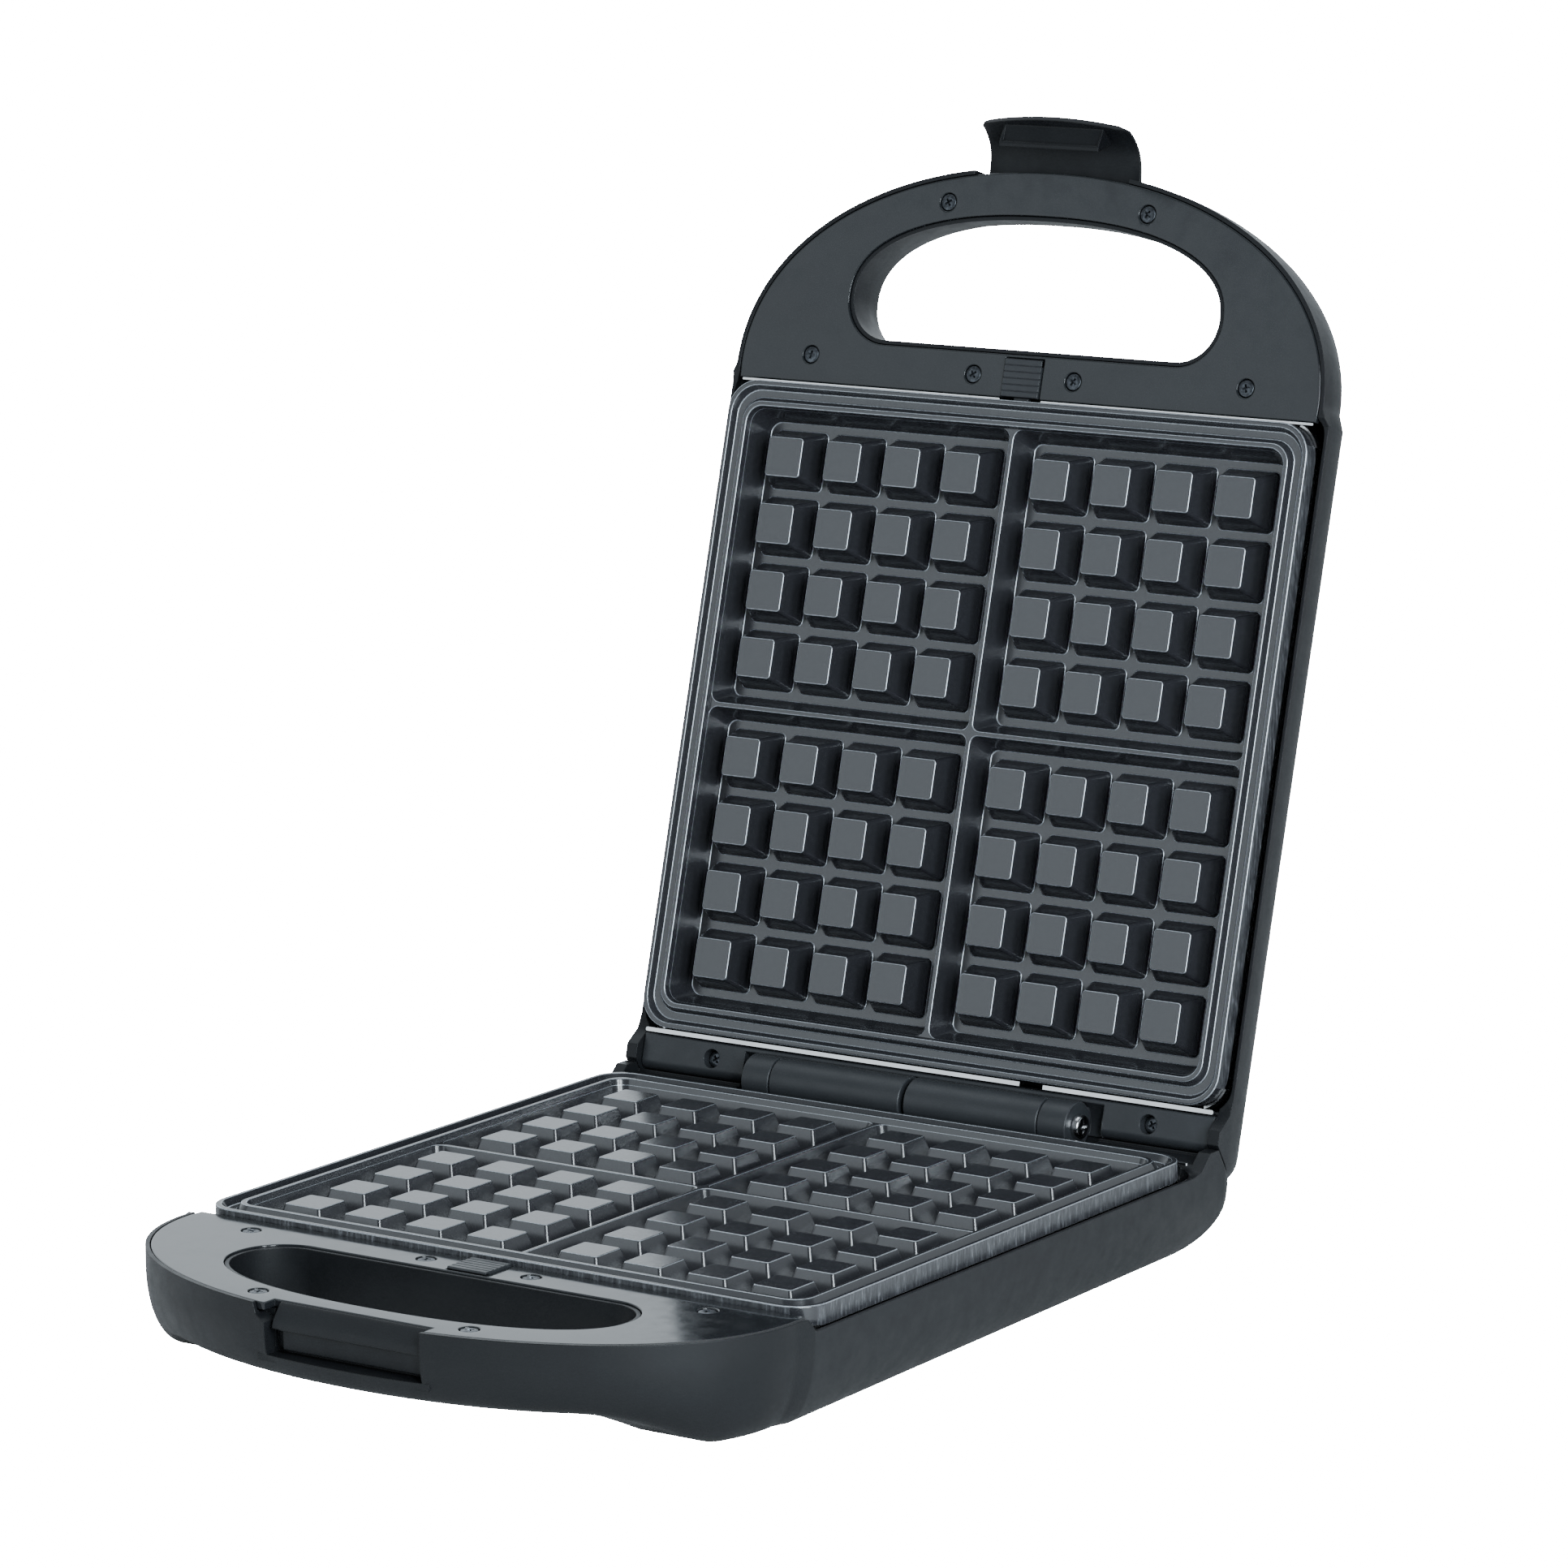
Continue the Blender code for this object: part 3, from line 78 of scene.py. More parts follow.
# Casings
CASE_HALF_X, RIM_INSET = 0.1253, 0.0015
CASE_REAR_Y, CASE_REAR_CORNER = 0.1480, 0.0110
OPENING_HALF_X, OPENING_REAR_Y = 0.1225, 0.1224
SIDE_RIM, REAR_DECK = -0.0052, -0.0025
HANDLE_CENTRE_Y, HANDLE_HALF_X, HANDLE_REACH, HANDLE_POWER = -0.1250, 0.1232, 0.0795, 2.1
HANDLE_CURVE = 0.0065
SHOULDER_Y = -0.1195
EAR_HALF_X, EAR_RISE = 0.1192, 0.0012
ARC_STEPS, CORNER_STEPS = 96, 12
CASE_TOP, CAVITY_TOP = 0.0030, 0.0060
RAMP_FRONT_Y, RAMP_REAR_Y = -0.1875, -0.1500
BELLY_FALL, LID_TAPER = 0.0022, 0.10
CHAMBER_FRONT_Y, CHAMBER_CORNER = -0.1250, 0.010
BELLY_STEPS, HANDLE_STEPS = 15, 8

# Handle hole and covers
HOLE_CENTRE_Y, HOLE_HALF_X, HOLE_OUT, HOLE_IN = -0.1528, 0.0775, 0.0328, 0.0172
HOLE_OUT_POWER = 2.30
SLEEVE_WALL, SLEEVE_DROP = 0.0017, 0.0007
COVER_THICK, COVER_LEDGE, COVER_REAR_Y = 0.0025, 0.0015, -0.1200
SCREW_SPOTS = ((0.0413, -0.1886), (0.0903, -0.1300), (0.0208, -0.1275))
SCREW_HEAD_R, SCREW_HEAD_H, SCREW_SHANK_R = 0.0030, 0.0012, 0.0014
SLIDE_HALF_X, SLIDE_FRONT_Y, SLIDE_REAR_Y, SLIDE_RIBS = 0.0076, -0.1317, -0.1203, 6
CAP_FRONT_Y, SLOT_FRONT_Y = -0.1342, -0.1345

# Hinge
BARREL_R, BARREL_IN_X, BARREL_OUT_X = 0.0088, 0.0010, 0.0557
COLLAR_IN_X, COLLAR_OUT_X, POCKET_OUT_X = 0.0561, 0.0675, 0.0750
TROUGH_R = BARREL_R + 0.0006
PIN_R, PIN_BORE_R, COLLAR_BORE_R, PIN_SEAT = 0.0030, 0.0031, 0.0033, 0.0190
ROUND_SEGMENTS = 72
HINGE_SCREW_X, HINGE_SCREW_Y = {-1: 0.0933, 1: 0.0890}, 0.1275

# Latch
LATCH_HALF_X, LATCH_NOTCH_HALF_X = 0.0300, 0.0320
LATCH_Y, LATCH_Z = -0.1975, -0.0125
RECESS_HALF_X, RECESS_BACK_Y, RECESS_DEPTH = 0.0310, -0.1935, 0.0175
RECESS_LEFT_X, RECESS_FRONT_Y = -0.0296, -0.1990
NOTCH_BACK_Y, NOTCH_WALL, NOTCH_LOW = -0.1915, 0.0024, -0.0225

# Lenses
LENS_R, LENS_LENGTH, LENS_HOLE_R = 0.0029, 0.0054, 0.0033

# Reflector trays: the pan's rim, and the bright strips with their break by the hinge
PAN_RIM_X, PAN_RIM_Y, PAN_RIM_Z, PAN_SHEET = 0.1203, 0.1199, -0.0092, 0.0008
STRIP_END, STRIP_BREAK = 0.1185, (0.0415, 0.0490)

Half = dict  # the values that differ between the halves
BASE = Half(
    name="base", cover_z=-0.0010, belly=0.0350, handle_belly=0.0245, side_drop=0.0075, side_curve=0.0130,
    rear_drop=0.0180, rear_curve=0.0380, rear_slope=math.radians(57.5), mirror_x=1,
)
LID = Half(
    name="lid", cover_z=-0.0030, belly=0.0300, handle_belly=0.0240, side_drop=0.0075, side_curve=0.0600,
    rear_drop=0.0075, rear_curve=0.0600, rear_slope=math.radians(48.5), mirror_x=-1,
)


def joint(name):
    return next(one for one in frame["joints"] if one["name"] == name)


def places():
    """Each half's frame in the row frame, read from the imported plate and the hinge."""
    low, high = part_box("base_waffle_plate")
    origin = Vector((0, (low.y + high.y) / 2, high.z - RIM_RISE))
    hinge = joint("lid_hinge")
    axis = Vector(hinge["pos_m"])
    opened = math.radians(hinge["range_deg"][1])
    rise = axis.z - origin.z
    closed = Matrix.Translation((0, origin.y - axis.y, CLOSED_GAP - rise))
    turned_over = Matrix.Rotation(math.pi, 4, "Y")
    lid = Matrix.Translation(axis) @ Matrix.Rotation(-opened, 4, "X") @ closed @ turned_over
    return {"base": Matrix.Translation(origin), "lid": lid}, axis.y - origin.y, rise


PLACE, HINGE_Y, HINGE_RISE = places()

# --- Materials ---


def set_inputs(node, inputs):
    """Sets a node's unlinked inputs, from (name, value) pairs or a dict."""
    for key, value in dict(inputs).items():
        node.inputs[key].default_value = value
    return node


class Shader:
    """A material's node tree, with short calls to add and link nodes."""

    def __init__(self, name, colour, roughness, metallic=0.0, **settings):
        self.material = bpy.data.materials.new(name)
        self.material.use_nodes = True
        self.tree = self.material.node_tree
        self.out = self.tree.nodes["Principled BSDF"]
        set_inputs(self.out, {"Base Color": (*colour, 1), "Roughness": roughness, "Metallic": metallic})
        set_inputs(self.out, {key.replace("_", " "): value for key, value in settings.items()})
        self.coords = self.add("ShaderNodeTexCoord").outputs["Object"]

    def add(self, kind, inputs=(), **settings):
        node = self.tree.nodes.new(kind)
        for key, value in settings.items():
            setattr(node, key, value)
        return set_inputs(node, inputs)

    def link(self, start, end):
        self.tree.links.new(start, end)
        return end

    def noise(self, scale, detail=3.0, roughness=0.5, stretch=(1, 1, 1)):
        mapping = self.add("ShaderNodeMapping", {"Scale": stretch})
        self.link(self.coords, mapping.inputs["Vector"])
        noise = self.add("ShaderNodeTexNoise", {"Scale": scale, "Detail": detail, "Roughness": roughness})
        self.link(mapping.outputs["Vector"], noise.inputs["Vector"])
        return noise.outputs["Fac"]

    def ramp(self, value, stops):
        ramp = self.add("ShaderNodeValToRGB")
        elements = ramp.color_ramp.elements
        while len(elements) < len(stops):
            elements.new(0.5)
        for element, (position, colour) in zip(elements, stops):
            element.position = position
            element.color = (*colour, 1)
        self.link(value, ramp.inputs["Fac"])
        return ramp.outputs["Color"]

    def spread(self, value, low, high, start=0.3, end=0.7):
        """The value, taken from between start and end to between low and high."""
        limits = {"From Min": start, "From Max": end, "To Min": low, "To Max": high}
        node = self.add("ShaderNodeMapRange", limits)
        self.link(value, node.inputs["Value"])
        return node.outputs["Result"]

    def colour(self, value, *stops):
        self.link(self.ramp(value, stops), self.out.inputs["Base Color"])

    def sheen(self, value, low, high):
        """Roughness from low to high, following the value."""
        self.link(self.spread(value, low, high), self.out.inputs["Roughness"])

    def bump(self, *layers, edge=0.0):
        """Bumps on top of one another, each (height, strength, distance), over edges rounded by edge."""
        normal = None
        if edge:
            normal = self.add("ShaderNodeBevel", {"Radius": edge}, samples=6).outputs["Normal"]
        for height, strength, distance in layers:
            node = self.add("ShaderNodeBump", {"Strength": strength, "Distance": distance})
            self.link(height, node.inputs["Height"])
            if normal is not None:
                self.link(normal, node.inputs["Normal"])
            normal = node.outputs["Normal"]
        self.link(normal, self.out.inputs["Normal"])


def moulded_plastic(name, dark, light, roughness, grain, edge=0.0005, gloss=0.5):
    """Satin moulded plastic: faint colour clouding, an uneven sheen and a fine moulded grain."""
    made = Shader(name, dark, roughness, Specular_IOR_Level=gloss)
    made.colour(made.noise(45, 4), (0.35, dark), (0.65, light))
    made.sheen(made.noise(130, 5, 0.6), roughness - 0.05, roughness + 0.06)
    fine, coarse = made.noise(2600, 2), made.noise(300, 3)
    made.bump((fine, grain, 0.00012), (coarse, grain * 0.35, 0.0002), edge=edge)
    return made.material


def nonstick_coating(name, streaks=False):
    """Sprayed non-stick coat on cast aluminium: a pebbly surface with pale flecks or, on the skirt,
    with upright streaks from the casting."""
    dark, mid = (0.0175, 0.0180, 0.0215), (0.0205, 0.0215, 0.0250)
    roughness = 0.34 if streaks else 0.20
    made = Shader(name, dark, roughness, Specular_IOR_Level=1.0)
    made.sheen(made.noise(700, 4), roughness - 0.02, roughness + 0.04)
    layers = [(made.noise(2600, 3, 0.6), 0.022, 0.00008)]
    if streaks:
        streak = made.noise(950, 4, 0.7, (1, 1, 0.16))
        pale, metal = (0.060, 0.063, 0.069), (0.22, 0.23, 0.25)
        made.colour(streak, (0.42, (0.022, 0.023, 0.027)), (0.58, pale), (0.74, metal))
        layers.append((streak, 0.6, 0.0003))
    else:
        made.colour(made.noise(2100, 2, 0.7), (0.35, dark), (0.62, mid), (0.78, (0.036, 0.038, 0.042)))
    made.bump(*layers)
    return made.material


def edge_highlight_coating(name):
    """Paler, metallic coat on the castings' rounded edges and fillets: a painted highlight, so that they
    shine as bright lines.
    """
    made = Shader(name, (0.40, 0.43, 0.47), 0.34, 0.75)
    # painted highlight: this mottling spreads the edges' paler colour and sheen unevenly
    highlight_mottle = made.noise(1300, 3, 0.6)
    made.colour(highlight_mottle, (0.3, (0.26, 0.28, 0.305)), (0.7, (0.50, 0.535, 0.575)))
    made.sheen(highlight_mottle, 0.30, 0.42)
    made.bump((highlight_mottle, 0.05, 0.0001))
    return made.material


def polished_steel(name, colour=(0.80, 0.80, 0.80), roughness=0.14, stretch=(1, 6, 6)):
    """Rolled sheet steel with a faint grain along it."""
    made = Shader(name, colour, roughness, 1.0)
    grain = made.noise(700, 3, 0.6, stretch)
    made.sheen(grain, roughness - 0.04, roughness + 0.10)
    made.colour(made.noise(60, 3), (0.3, times(colour, 0.88)), (0.7, colour))
    made.bump((grain, 0.08, 0.0002))
    return made.material


def blackened_steel(name, colour, roughness):
    """Blackened screw steel, rubbed brighter in places."""
    made = Shader(name, colour, roughness, 0.9)
    rubbed = made.noise(900, 4, 0.65)
    made.colour(rubbed, (0.40, colour), (0.72, times(colour, 2.6)))
    made.sheen(made.noise(600, 3), roughness - 0.07, roughness + 0.10)
    made.bump((rubbed, 0.15, 0.00015))
    return made.material


def soft_rubber(name):
    """Matte rubber with a little dust."""
    made = Shader(name, (0.018, 0.018, 0.019), 0.75)
    made.colour(made.noise(220, 5, 0.6), (0.4, (0.015, 0.015, 0.016)), (0.75, (0.035, 0.034, 0.033)))
    made.bump((made.noise(1800, 2), 0.2, 0.0002))
    return made.material


def fired_ceramic(name):
    """Unglazed ceramic, clouded by firing."""
    made = Shader(name, (0.75, 0.72, 0.66), 0.60)
    made.colour(made.noise(320, 5, 0.6), (0.3, (0.66, 0.62, 0.55)), (0.7, (0.80, 0.77, 0.71)))
    made.bump((made.noise(1400, 3), 0.25, 0.0002))
    return made.material


def tinted_lens(name, colour):
    """Clear tinted plastic with moulded flow marks, dark while the appliance is off."""
    made = Shader(name, colour, 0.12, 0.0, Coat_Weight=0.6, Coat_Roughness=0.06)
    flow = made.noise(500, 3)
    made.colour(flow, (0.3, times(colour, 0.6)), (0.7, colour))
    made.bump((flow, 0.06, 0.0002))
    return made.material


def times(colour, factor):
    return tuple(min(1.0, part * factor) for part in colour)


CASING_PLASTIC = moulded_plastic(
    "casing_plastic", (0.0075, 0.0082, 0.0096), (0.0092, 0.0101, 0.0116), 0.44, 0.10, gloss=0.32,
)
COVER_PLASTIC = moulded_plastic(
    "cover_plastic", (0.0115, 0.0130, 0.0150), (0.0130, 0.0148, 0.0170), 0.12, 0.008,
)
HINGE_PLASTIC = moulded_plastic(
    "hinge_plastic", (0.022, 0.0243, 0.0275), (0.026, 0.0285, 0.0320), 0.42, 0.08,
)
LATCH_PLASTIC = moulded_plastic(
    "latch_plastic", (0.0055, 0.0060, 0.0075), (0.0070, 0.0078, 0.0092), 0.40, 0.05, 0.0006, 0.30,
)
NONSTICK = nonstick_coating("nonstick_coating")
SKIRT_COAT = nonstick_coating("nonstick_on_cast_skirt", streaks=True)
# the fillets' material: a paler metallic colour, painted on as edge highlights
EDGE_HIGHLIGHT_COAT = edge_highlight_coating("nonstick_painted_edge_highlight")
BRIGHT_STEEL = polished_steel("bright_steel")
CHROME = polished_steel("chromed_pin", (0.85, 0.85, 0.86), 0.10, (1, 1, 1))
SCREW_STEEL = blackened_steel("screw_steel", (0.055, 0.060, 0.067), 0.34)
ELEMENT_STEEL = blackened_steel("element_steel", (0.20, 0.19, 0.18), 0.42)
RUBBER = soft_rubber("rubber")
CERAMIC = fired_ceramic("ceramic")
RED_LENS = tinted_lens("red_lens", (0.45, 0.015, 0.012))
GREEN_LENS = tinted_lens("green_lens", (0.02, 0.30, 0.05))

# --- Mesh helpers ---


def new_object(name, bm):
    bmesh.ops.recalc_face_normals(bm, faces=bm.faces)
    mesh = bpy.data.meshes.new(name)
    bm.to_mesh(mesh)
    bm.free()
    made = bpy.data.objects.new(name, mesh)
    bpy.context.scene.collection.objects.link(made)
    return made


def add_ring(bm, points):
    return [bm.verts.new(point) for point in points]


def join_rings(bm, lower, upper, material=0):
    for i in range(len(lower)):
        j = (i + 1) % len(lower)
        bm.faces.new((lower[i], lower[j], upper[j], upper[i])).material_index = material


def add_loft(bm, rings, caps=(True, True)):
    made = [add_ring(bm, ring) for ring in rings]
    for lower, upper in zip(made, made[1:]):
        join_rings(bm, lower, upper)
    for wanted, ring in zip(caps, (made[0], made[-1])):
        if wanted:
            bm.faces.new(ring)
    return made


def loft(name, rings, last_apex=None):
    """A solid through rings of equal point counts. A last ring that isn't flat but is the same left and
    right gets a cap of rungs across it, counted from its apex point."""
    bm = bmesh.new()
    last = add_loft(bm, rings, (True, last_apex is None))[-1]
    if last_apex is not None:
        count = len(last)
        bm.faces.new((last[last_apex - 1], last[last_apex], last[last_apex + 1]))
        for rung in range(1, count // 2):
            right, next_right = last[last_apex + rung], last[last_apex + rung + 1]
            left, next_left = last[(last_apex - rung) % count], last[(last_apex - rung - 1) % count]
            bm.faces.new((left, right, next_right, next_left))
    return new_object(name, bm)


def level(outline, z):
    return [(x, y, z) for x, y in outline]


def prism(name, outline, low, high):
    return loft(name, [level(outline, low), level(outline, high)])


def side_prism(name, outline, left, right):
    return loft(name, [[(x, y, z) for y, z in outline] for x in (left, right)])


def box(name, low, high):
    (x0, y0, z0), (x1, y1, z1) = low, high
    return prism(name, [(x0, y0), (x1, y0), (x1, y1), (x0, y1)], z0, z1)


def turned(name, centre, profile, direction, segments=48, hollow=False):
    """A solid of revolution from (distance along, radius) points, about a line through centre. A hollow
    one has no ends: its profile is closed into a tube."""
    bm = bmesh.new()
    turn = Vector((0, 0, 1)).rotation_difference(Vector(direction)).to_matrix()
    rings = []
    for along, radius in profile:
        ring = level(circle(0, 0, radius, segments), along)
        rings.append([turn @ Vector(point) + Vector(centre) for point in ring])
    made = add_loft(bm, rings, (not hollow, not hollow))
    if hollow:
        join_rings(bm, made[-1], made[0])
    return new_object(name, bm)


def combine(target, operation, *tools):
    for tool in tools:
        modifier = target.modifiers.new(operation, "BOOLEAN")
        modifier.operation = operation
        modifier.solver = "EXACT"
        modifier.object = tool
        bpy.context.view_layer.update()
        graph = bpy.context.evaluated_depsgraph_get()
        result = bpy.data.meshes.new_from_object(target.evaluated_get(graph))
        target.modifiers.remove(modifier)
        target.data = result
        bpy.data.objects.remove(tool)
    return target


def cut(target, *tools):
    return combine(target, "DIFFERENCE", *tools)


def union(target, *tools):
    return combine(target, "UNION", *tools)


def polar(x, y, radius, angle):
    return (x + radius * math.cos(angle), y + radius * math.sin(angle))


def rounded(points, radii, steps=4):
    """A polyline with its inner corners rounded, one radius for each."""
    result = [tuple(points[0])]
    for before, corner, after, radius in zip(points, points[1:], points[2:], radii):
        corner = Vector(corner)
        back, on = Vector(before) - corner, Vector(after) - corner
        half = back.angle(on) / 2
        reach = min(radius / math.tan(half), 0.49 * back.length, 0.49 * on.length)
        if reach < 1e-7:
            result.append(tuple(corner))
            continue
        radius = reach * math.tan(half)
        centre = corner + (back.normalized() + on.normalized()).normalized() * (radius / math.sin(half))
        start = corner + back.normalized() * reach - centre
        end = corner + on.normalized() * reach - centre
        first = math.atan2(start.y, start.x)
        swing = (math.atan2(end.y, end.x) - first + math.pi) % (2 * math.pi) - math.pi
        for step in range(steps + 1):
            angle = first + swing * step / steps
            result.append(polar(*centre, radius, angle))
    result.append(tuple(points[-1]))
    return result


def on_arc(count, corners, steps=4):
    """Whether each of a rounded polyline's segments is in the middle of one of its arcs."""
    marks = [False]
    for _ in range(corners):
        marks += [0 < step < steps - 1 for step in range(steps)] + [False]
    return marks[: count - 1]


def mm(points):
    return [(a / 1000, b / 1000) for a, b in points]


def finish_piece(piece, material, half, body, *stands_for, slot, smooth=32, materials=()):
    """Places a piece modelled in its half's frame, shades it and gives it to its body."""
    if half:
        piece.data.transform(PLACE[half["name"]])
    mesh = piece.data
    if not materials:
        mesh.materials.clear()
    for one in materials or (material,):
        mesh.materials.append(one)
    mesh.shade_smooth()
    mesh.set_sharp_from_angle(angle=math.radians(smooth))
    weighted = piece.modifiers.new("weighted_normals", "WEIGHTED_NORMAL")
    weighted.keep_sharp = True
    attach(piece, body)
    if stands_for:
        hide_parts(*stands_for)
    return piece


# --- Outlines ---


def rounded_rectangle(low_x, high_x, low_y, high_y, radii, steps=CORNER_STEPS, extra=()):
    """Anticlockwise from the lower right corner. radii: one, or one for each corner in that order.
    extra adds points on the straight sides, this far from the axis that crosses each side."""
    if not isinstance(radii, tuple):
        radii = (radii,) * 4
    corners = ((high_x, low_y, -90), (high_x, high_y, 0), (low_x, high_y, 90), (low_x, low_y, 180))
    signs = ((-1, 1), (-1, -1), (1, -1), (1, 1))
    points = []
    for number, ((x, y, start), (sign_x, sign_y), radius) in enumerate(zip(corners, signs, radii)):
        for step in range(steps + 1):
            angle = math.radians(start + 90 * step / steps)
            points.append(polar(x + sign_x * radius, y + sign_y * radius, radius, angle))
        for place in extra:
            points.append(((high_x, -place), (place, high_y), (low_x, place), (-place, low_y))[number])
    return points


def half_superellipse(centre_y, half_x, reach, power, start, steps):
    points = []
    for step in range(steps + 1):
        angle = math.radians(start + 180 * step / steps)
        cosine, sine = math.cos(angle), math.sin(angle)
        x = math.copysign(half_x * abs(cosine) ** (2 / power), cosine)
        y = math.copysign(reach * abs(sine) ** (2 / power), sine)
        points.append((x, centre_y + y))
    return points


def handle_arc(inset):
    half_x, reach = HANDLE_HALF_X - inset, HANDLE_REACH - inset
    return half_superellipse(HANDLE_CENTRE_Y, half_x, reach, HANDLE_POWER, 180, ARC_STEPS)


def case_outline(inset, rear_inset=None):
    half_x = CASE_HALF_X - inset
    rear_y = CASE_REAR_Y - (inset if rear_inset is None else rear_inset)
    corner = CASE_REAR_CORNER - inset / 2
    rear = rounded_rectangle(-half_x, half_x, SHOULDER_Y, rear_y, corner)
    first, second = CORNER_STEPS + 1, 2 * (CORNER_STEPS + 1)
    right_rear, left_rear = rear[first:second], rear[second : second + first]
    return [*handle_arc(inset), (half_x, SHOULDER_Y), *right_rear, *left_rear, (-half_x, SHOULDER_Y)]


def hole_outline(inset, steps=48):
    half_x = HOLE_HALF_X - inset
    outer = half_superellipse(HOLE_CENTRE_Y, half_x, HOLE_OUT - inset, HOLE_OUT_POWER, 180, steps)
    corner = HOLE_IN - inset
    inner = []
    for number, side in enumerate((1, -1)):
        centre_x = side * (half_x - corner)
        for step in range(steps // 2 + 1):
            angle = math.radians(90 * number + 90 * step / (steps // 2))
            inner.append(polar(centre_x, HOLE_CENTRE_Y, corner, angle))
    return [*outer[:-1], *inner[:-1]]


def circle(x, y, radius, segments=32):
    return [polar(x, y, radius, 2 * math.pi * step / segments) for step in range(segments)]


def offset_loop(points, distance):
    """The closed loop moved to its left by distance at every point."""
    moved = []
    count = len(points)
    for i, here in enumerate(points):
        before, after = Vector(points[i - 1]), Vector(points[(i + 1) % count])
        here = Vector(here)
        first, second = (here - before).normalized(), (after - here).normalized()
        normal = Vector((-(first + second).y, (first + second).x)).normalized()
        stretch = max(0.4, normal.dot(Vector((-first.y, first.x))))
        moved.append(tuple(here + normal * (distance / stretch)))
    return moved


def curve_in(depth, drop, belly, width):
    """How far a casing's side has curved in at a depth, between its straight edge and its belly."""
    share = max(0.0, depth - drop) / (belly - drop)
    return width * (1 - math.sqrt(max(0.0, 1 - share * share)))


# --- Waffle plates ---
# EDGE is the fillets' material, which paints a highlight along them
BODY, SKIRT, EDGE = 0, 1, 2  # a plate's materials


def along_y(x):
    """The y of a feature that runs round the plate, from its x: the plate is a little shorter than wide."""
    return x - 0.0013 - 0.07 * (PLATE_HALF_X - x)


def fill(bm, edges):
    bmesh.ops.triangle_fill(bm, use_beauty=True, edges=edges, normal=(0, 0, 1))


def loop_edges(bm, ring):
    """The edges round a ring of vertices, made where they are missing."""
    edges = []
    for first, second in zip(ring, ring[1:] + ring[:1]):
        edges.append(bm.edges.get((first, second)) or bm.edges.new((first, second)))
    return edges


def rim_rings(bm, tangent):
    """The plate's edge: skirt, outer ridge, overflow channel and inner ridge, down to the crest's level."""
    low = 1000 * SKIRT_Z
    profile = mm([(117.9, low), (120.15, low), (120.15, 1.0), (118.45, 1.0), (117.1, -1.6)])
    profile += mm([(114.4, -1.6), (113.0, 1.0), (111.5, 1.0)]) + [(RIM_FOOT, CREST_Z)]
    radii = [0.0004, 0.0006, 0.0005, 0.0007, 0.0007, 0.0006, 0.0006]
    made = []
    for x, z in rounded(profile, radii):
        y = along_y(x)
        radius = PLATE_CORNER - CORNER_SHRINK * (PLATE_HALF_X - x)
        outline = rounded_rectangle(-x, x, -y, y, radius, PLATE_CORNER_STEPS, (tangent, -tangent))
        made.append(add_ring(bm, level(outline, z)))
    for lower, upper, arc in zip(made, made[1:], on_arc(len(made), len(radii))):
        # the rim's arc faces get the painted edge highlight
        join_rings(bm, lower, upper, EDGE if arc else BODY)
    return made


def plate_underside(bm, ring):
    """From the skirt's lower edge, up under the rim and down round the wells."""
    previous = ring
    for x, z in mm([(117.4, -5.7), (117.0, -4.0), (113.6, -4.0), (110.6, -14.0)]):
        y = along_y(x)
        outline = rounded_rectangle(-x, x, -y, y, 0.009, PLATE_CORNER_STEPS, (0.005, -0.005))
        following = add_ring(bm, level(outline, z))
        join_rings(bm, previous, following)
        previous = following
    bm.faces.new(previous)


def well(bm, sign_x, sign_y, tangent):
    """One waffle's well with its pegs, its mouth left open at the dividers' crest."""
    inner = [(0.0, CREST_Z), (CREST_HALF, CREST_Z), (FLOOR_IN, FLOOR_Z), (0.0080, FLOOR_Z)]
    inner = rounded(inner, [0.0007, 0.0006])[1:-1]
    slope = (RIM_FOOT - FLOOR_OUT) / (CREST_Z - FLOOR_Z)
    inner_slope = (FLOOR_IN - CREST_HALF) / (CREST_Z - FLOOR_Z)
    rings = []
    for number, (near, z) in enumerate(inner):
        on_wall = FLOOR_OUT + slope * (z - FLOOR_Z)
        far = on_wall if number < len(inner) / 2 else FLOOR_OUT + (FLOOR_IN - near) * slope / inner_slope
        depth = (CREST_Z - z) / (CREST_Z - FLOOR_Z)
        outer_corner = PLATE_CORNER - CORNER_SHRINK * (PLATE_HALF_X - RIM_FOOT) - 0.0014 * depth
        corner = tangent - inner[0][0] - 0.0004 * depth
        radii = (corner, outer_corner, corner, 0.0030)
        near_y = inner[0][0] + (near - inner[0][0]) * 0.95
        outline = rounded_rectangle(near, far, near_y, along_y(far), radii, PLATE_CORNER_STEPS)
        rings.append(add_ring(bm, [(sign_x * x, sign_y * y, z) for x, y in outline]))
    for lower, upper, arc in zip(rings, rings[1:], on_arc(len(rings) + 1, 2)[1:]):
        # the well's mouth and foot fillets get the painted edge highlight
        join_rings(bm, lower, upper, EDGE if arc else BODY)
    floor = loop_edges(bm, rings[-1])
    for step_y in range(PEGS_PER_WAFFLE):
        for step_x in range(PEGS_PER_WAFFLE):
            x = (CROSS_X + PITCH_X) / 2 + PITCH_X * step_x
            y = (CROSS_Y + PITCH_Y) / 2 + PITCH_Y * step_y
            floor += peg(bm, sign_x * x, sign_y * y)
    fill(bm, floor)


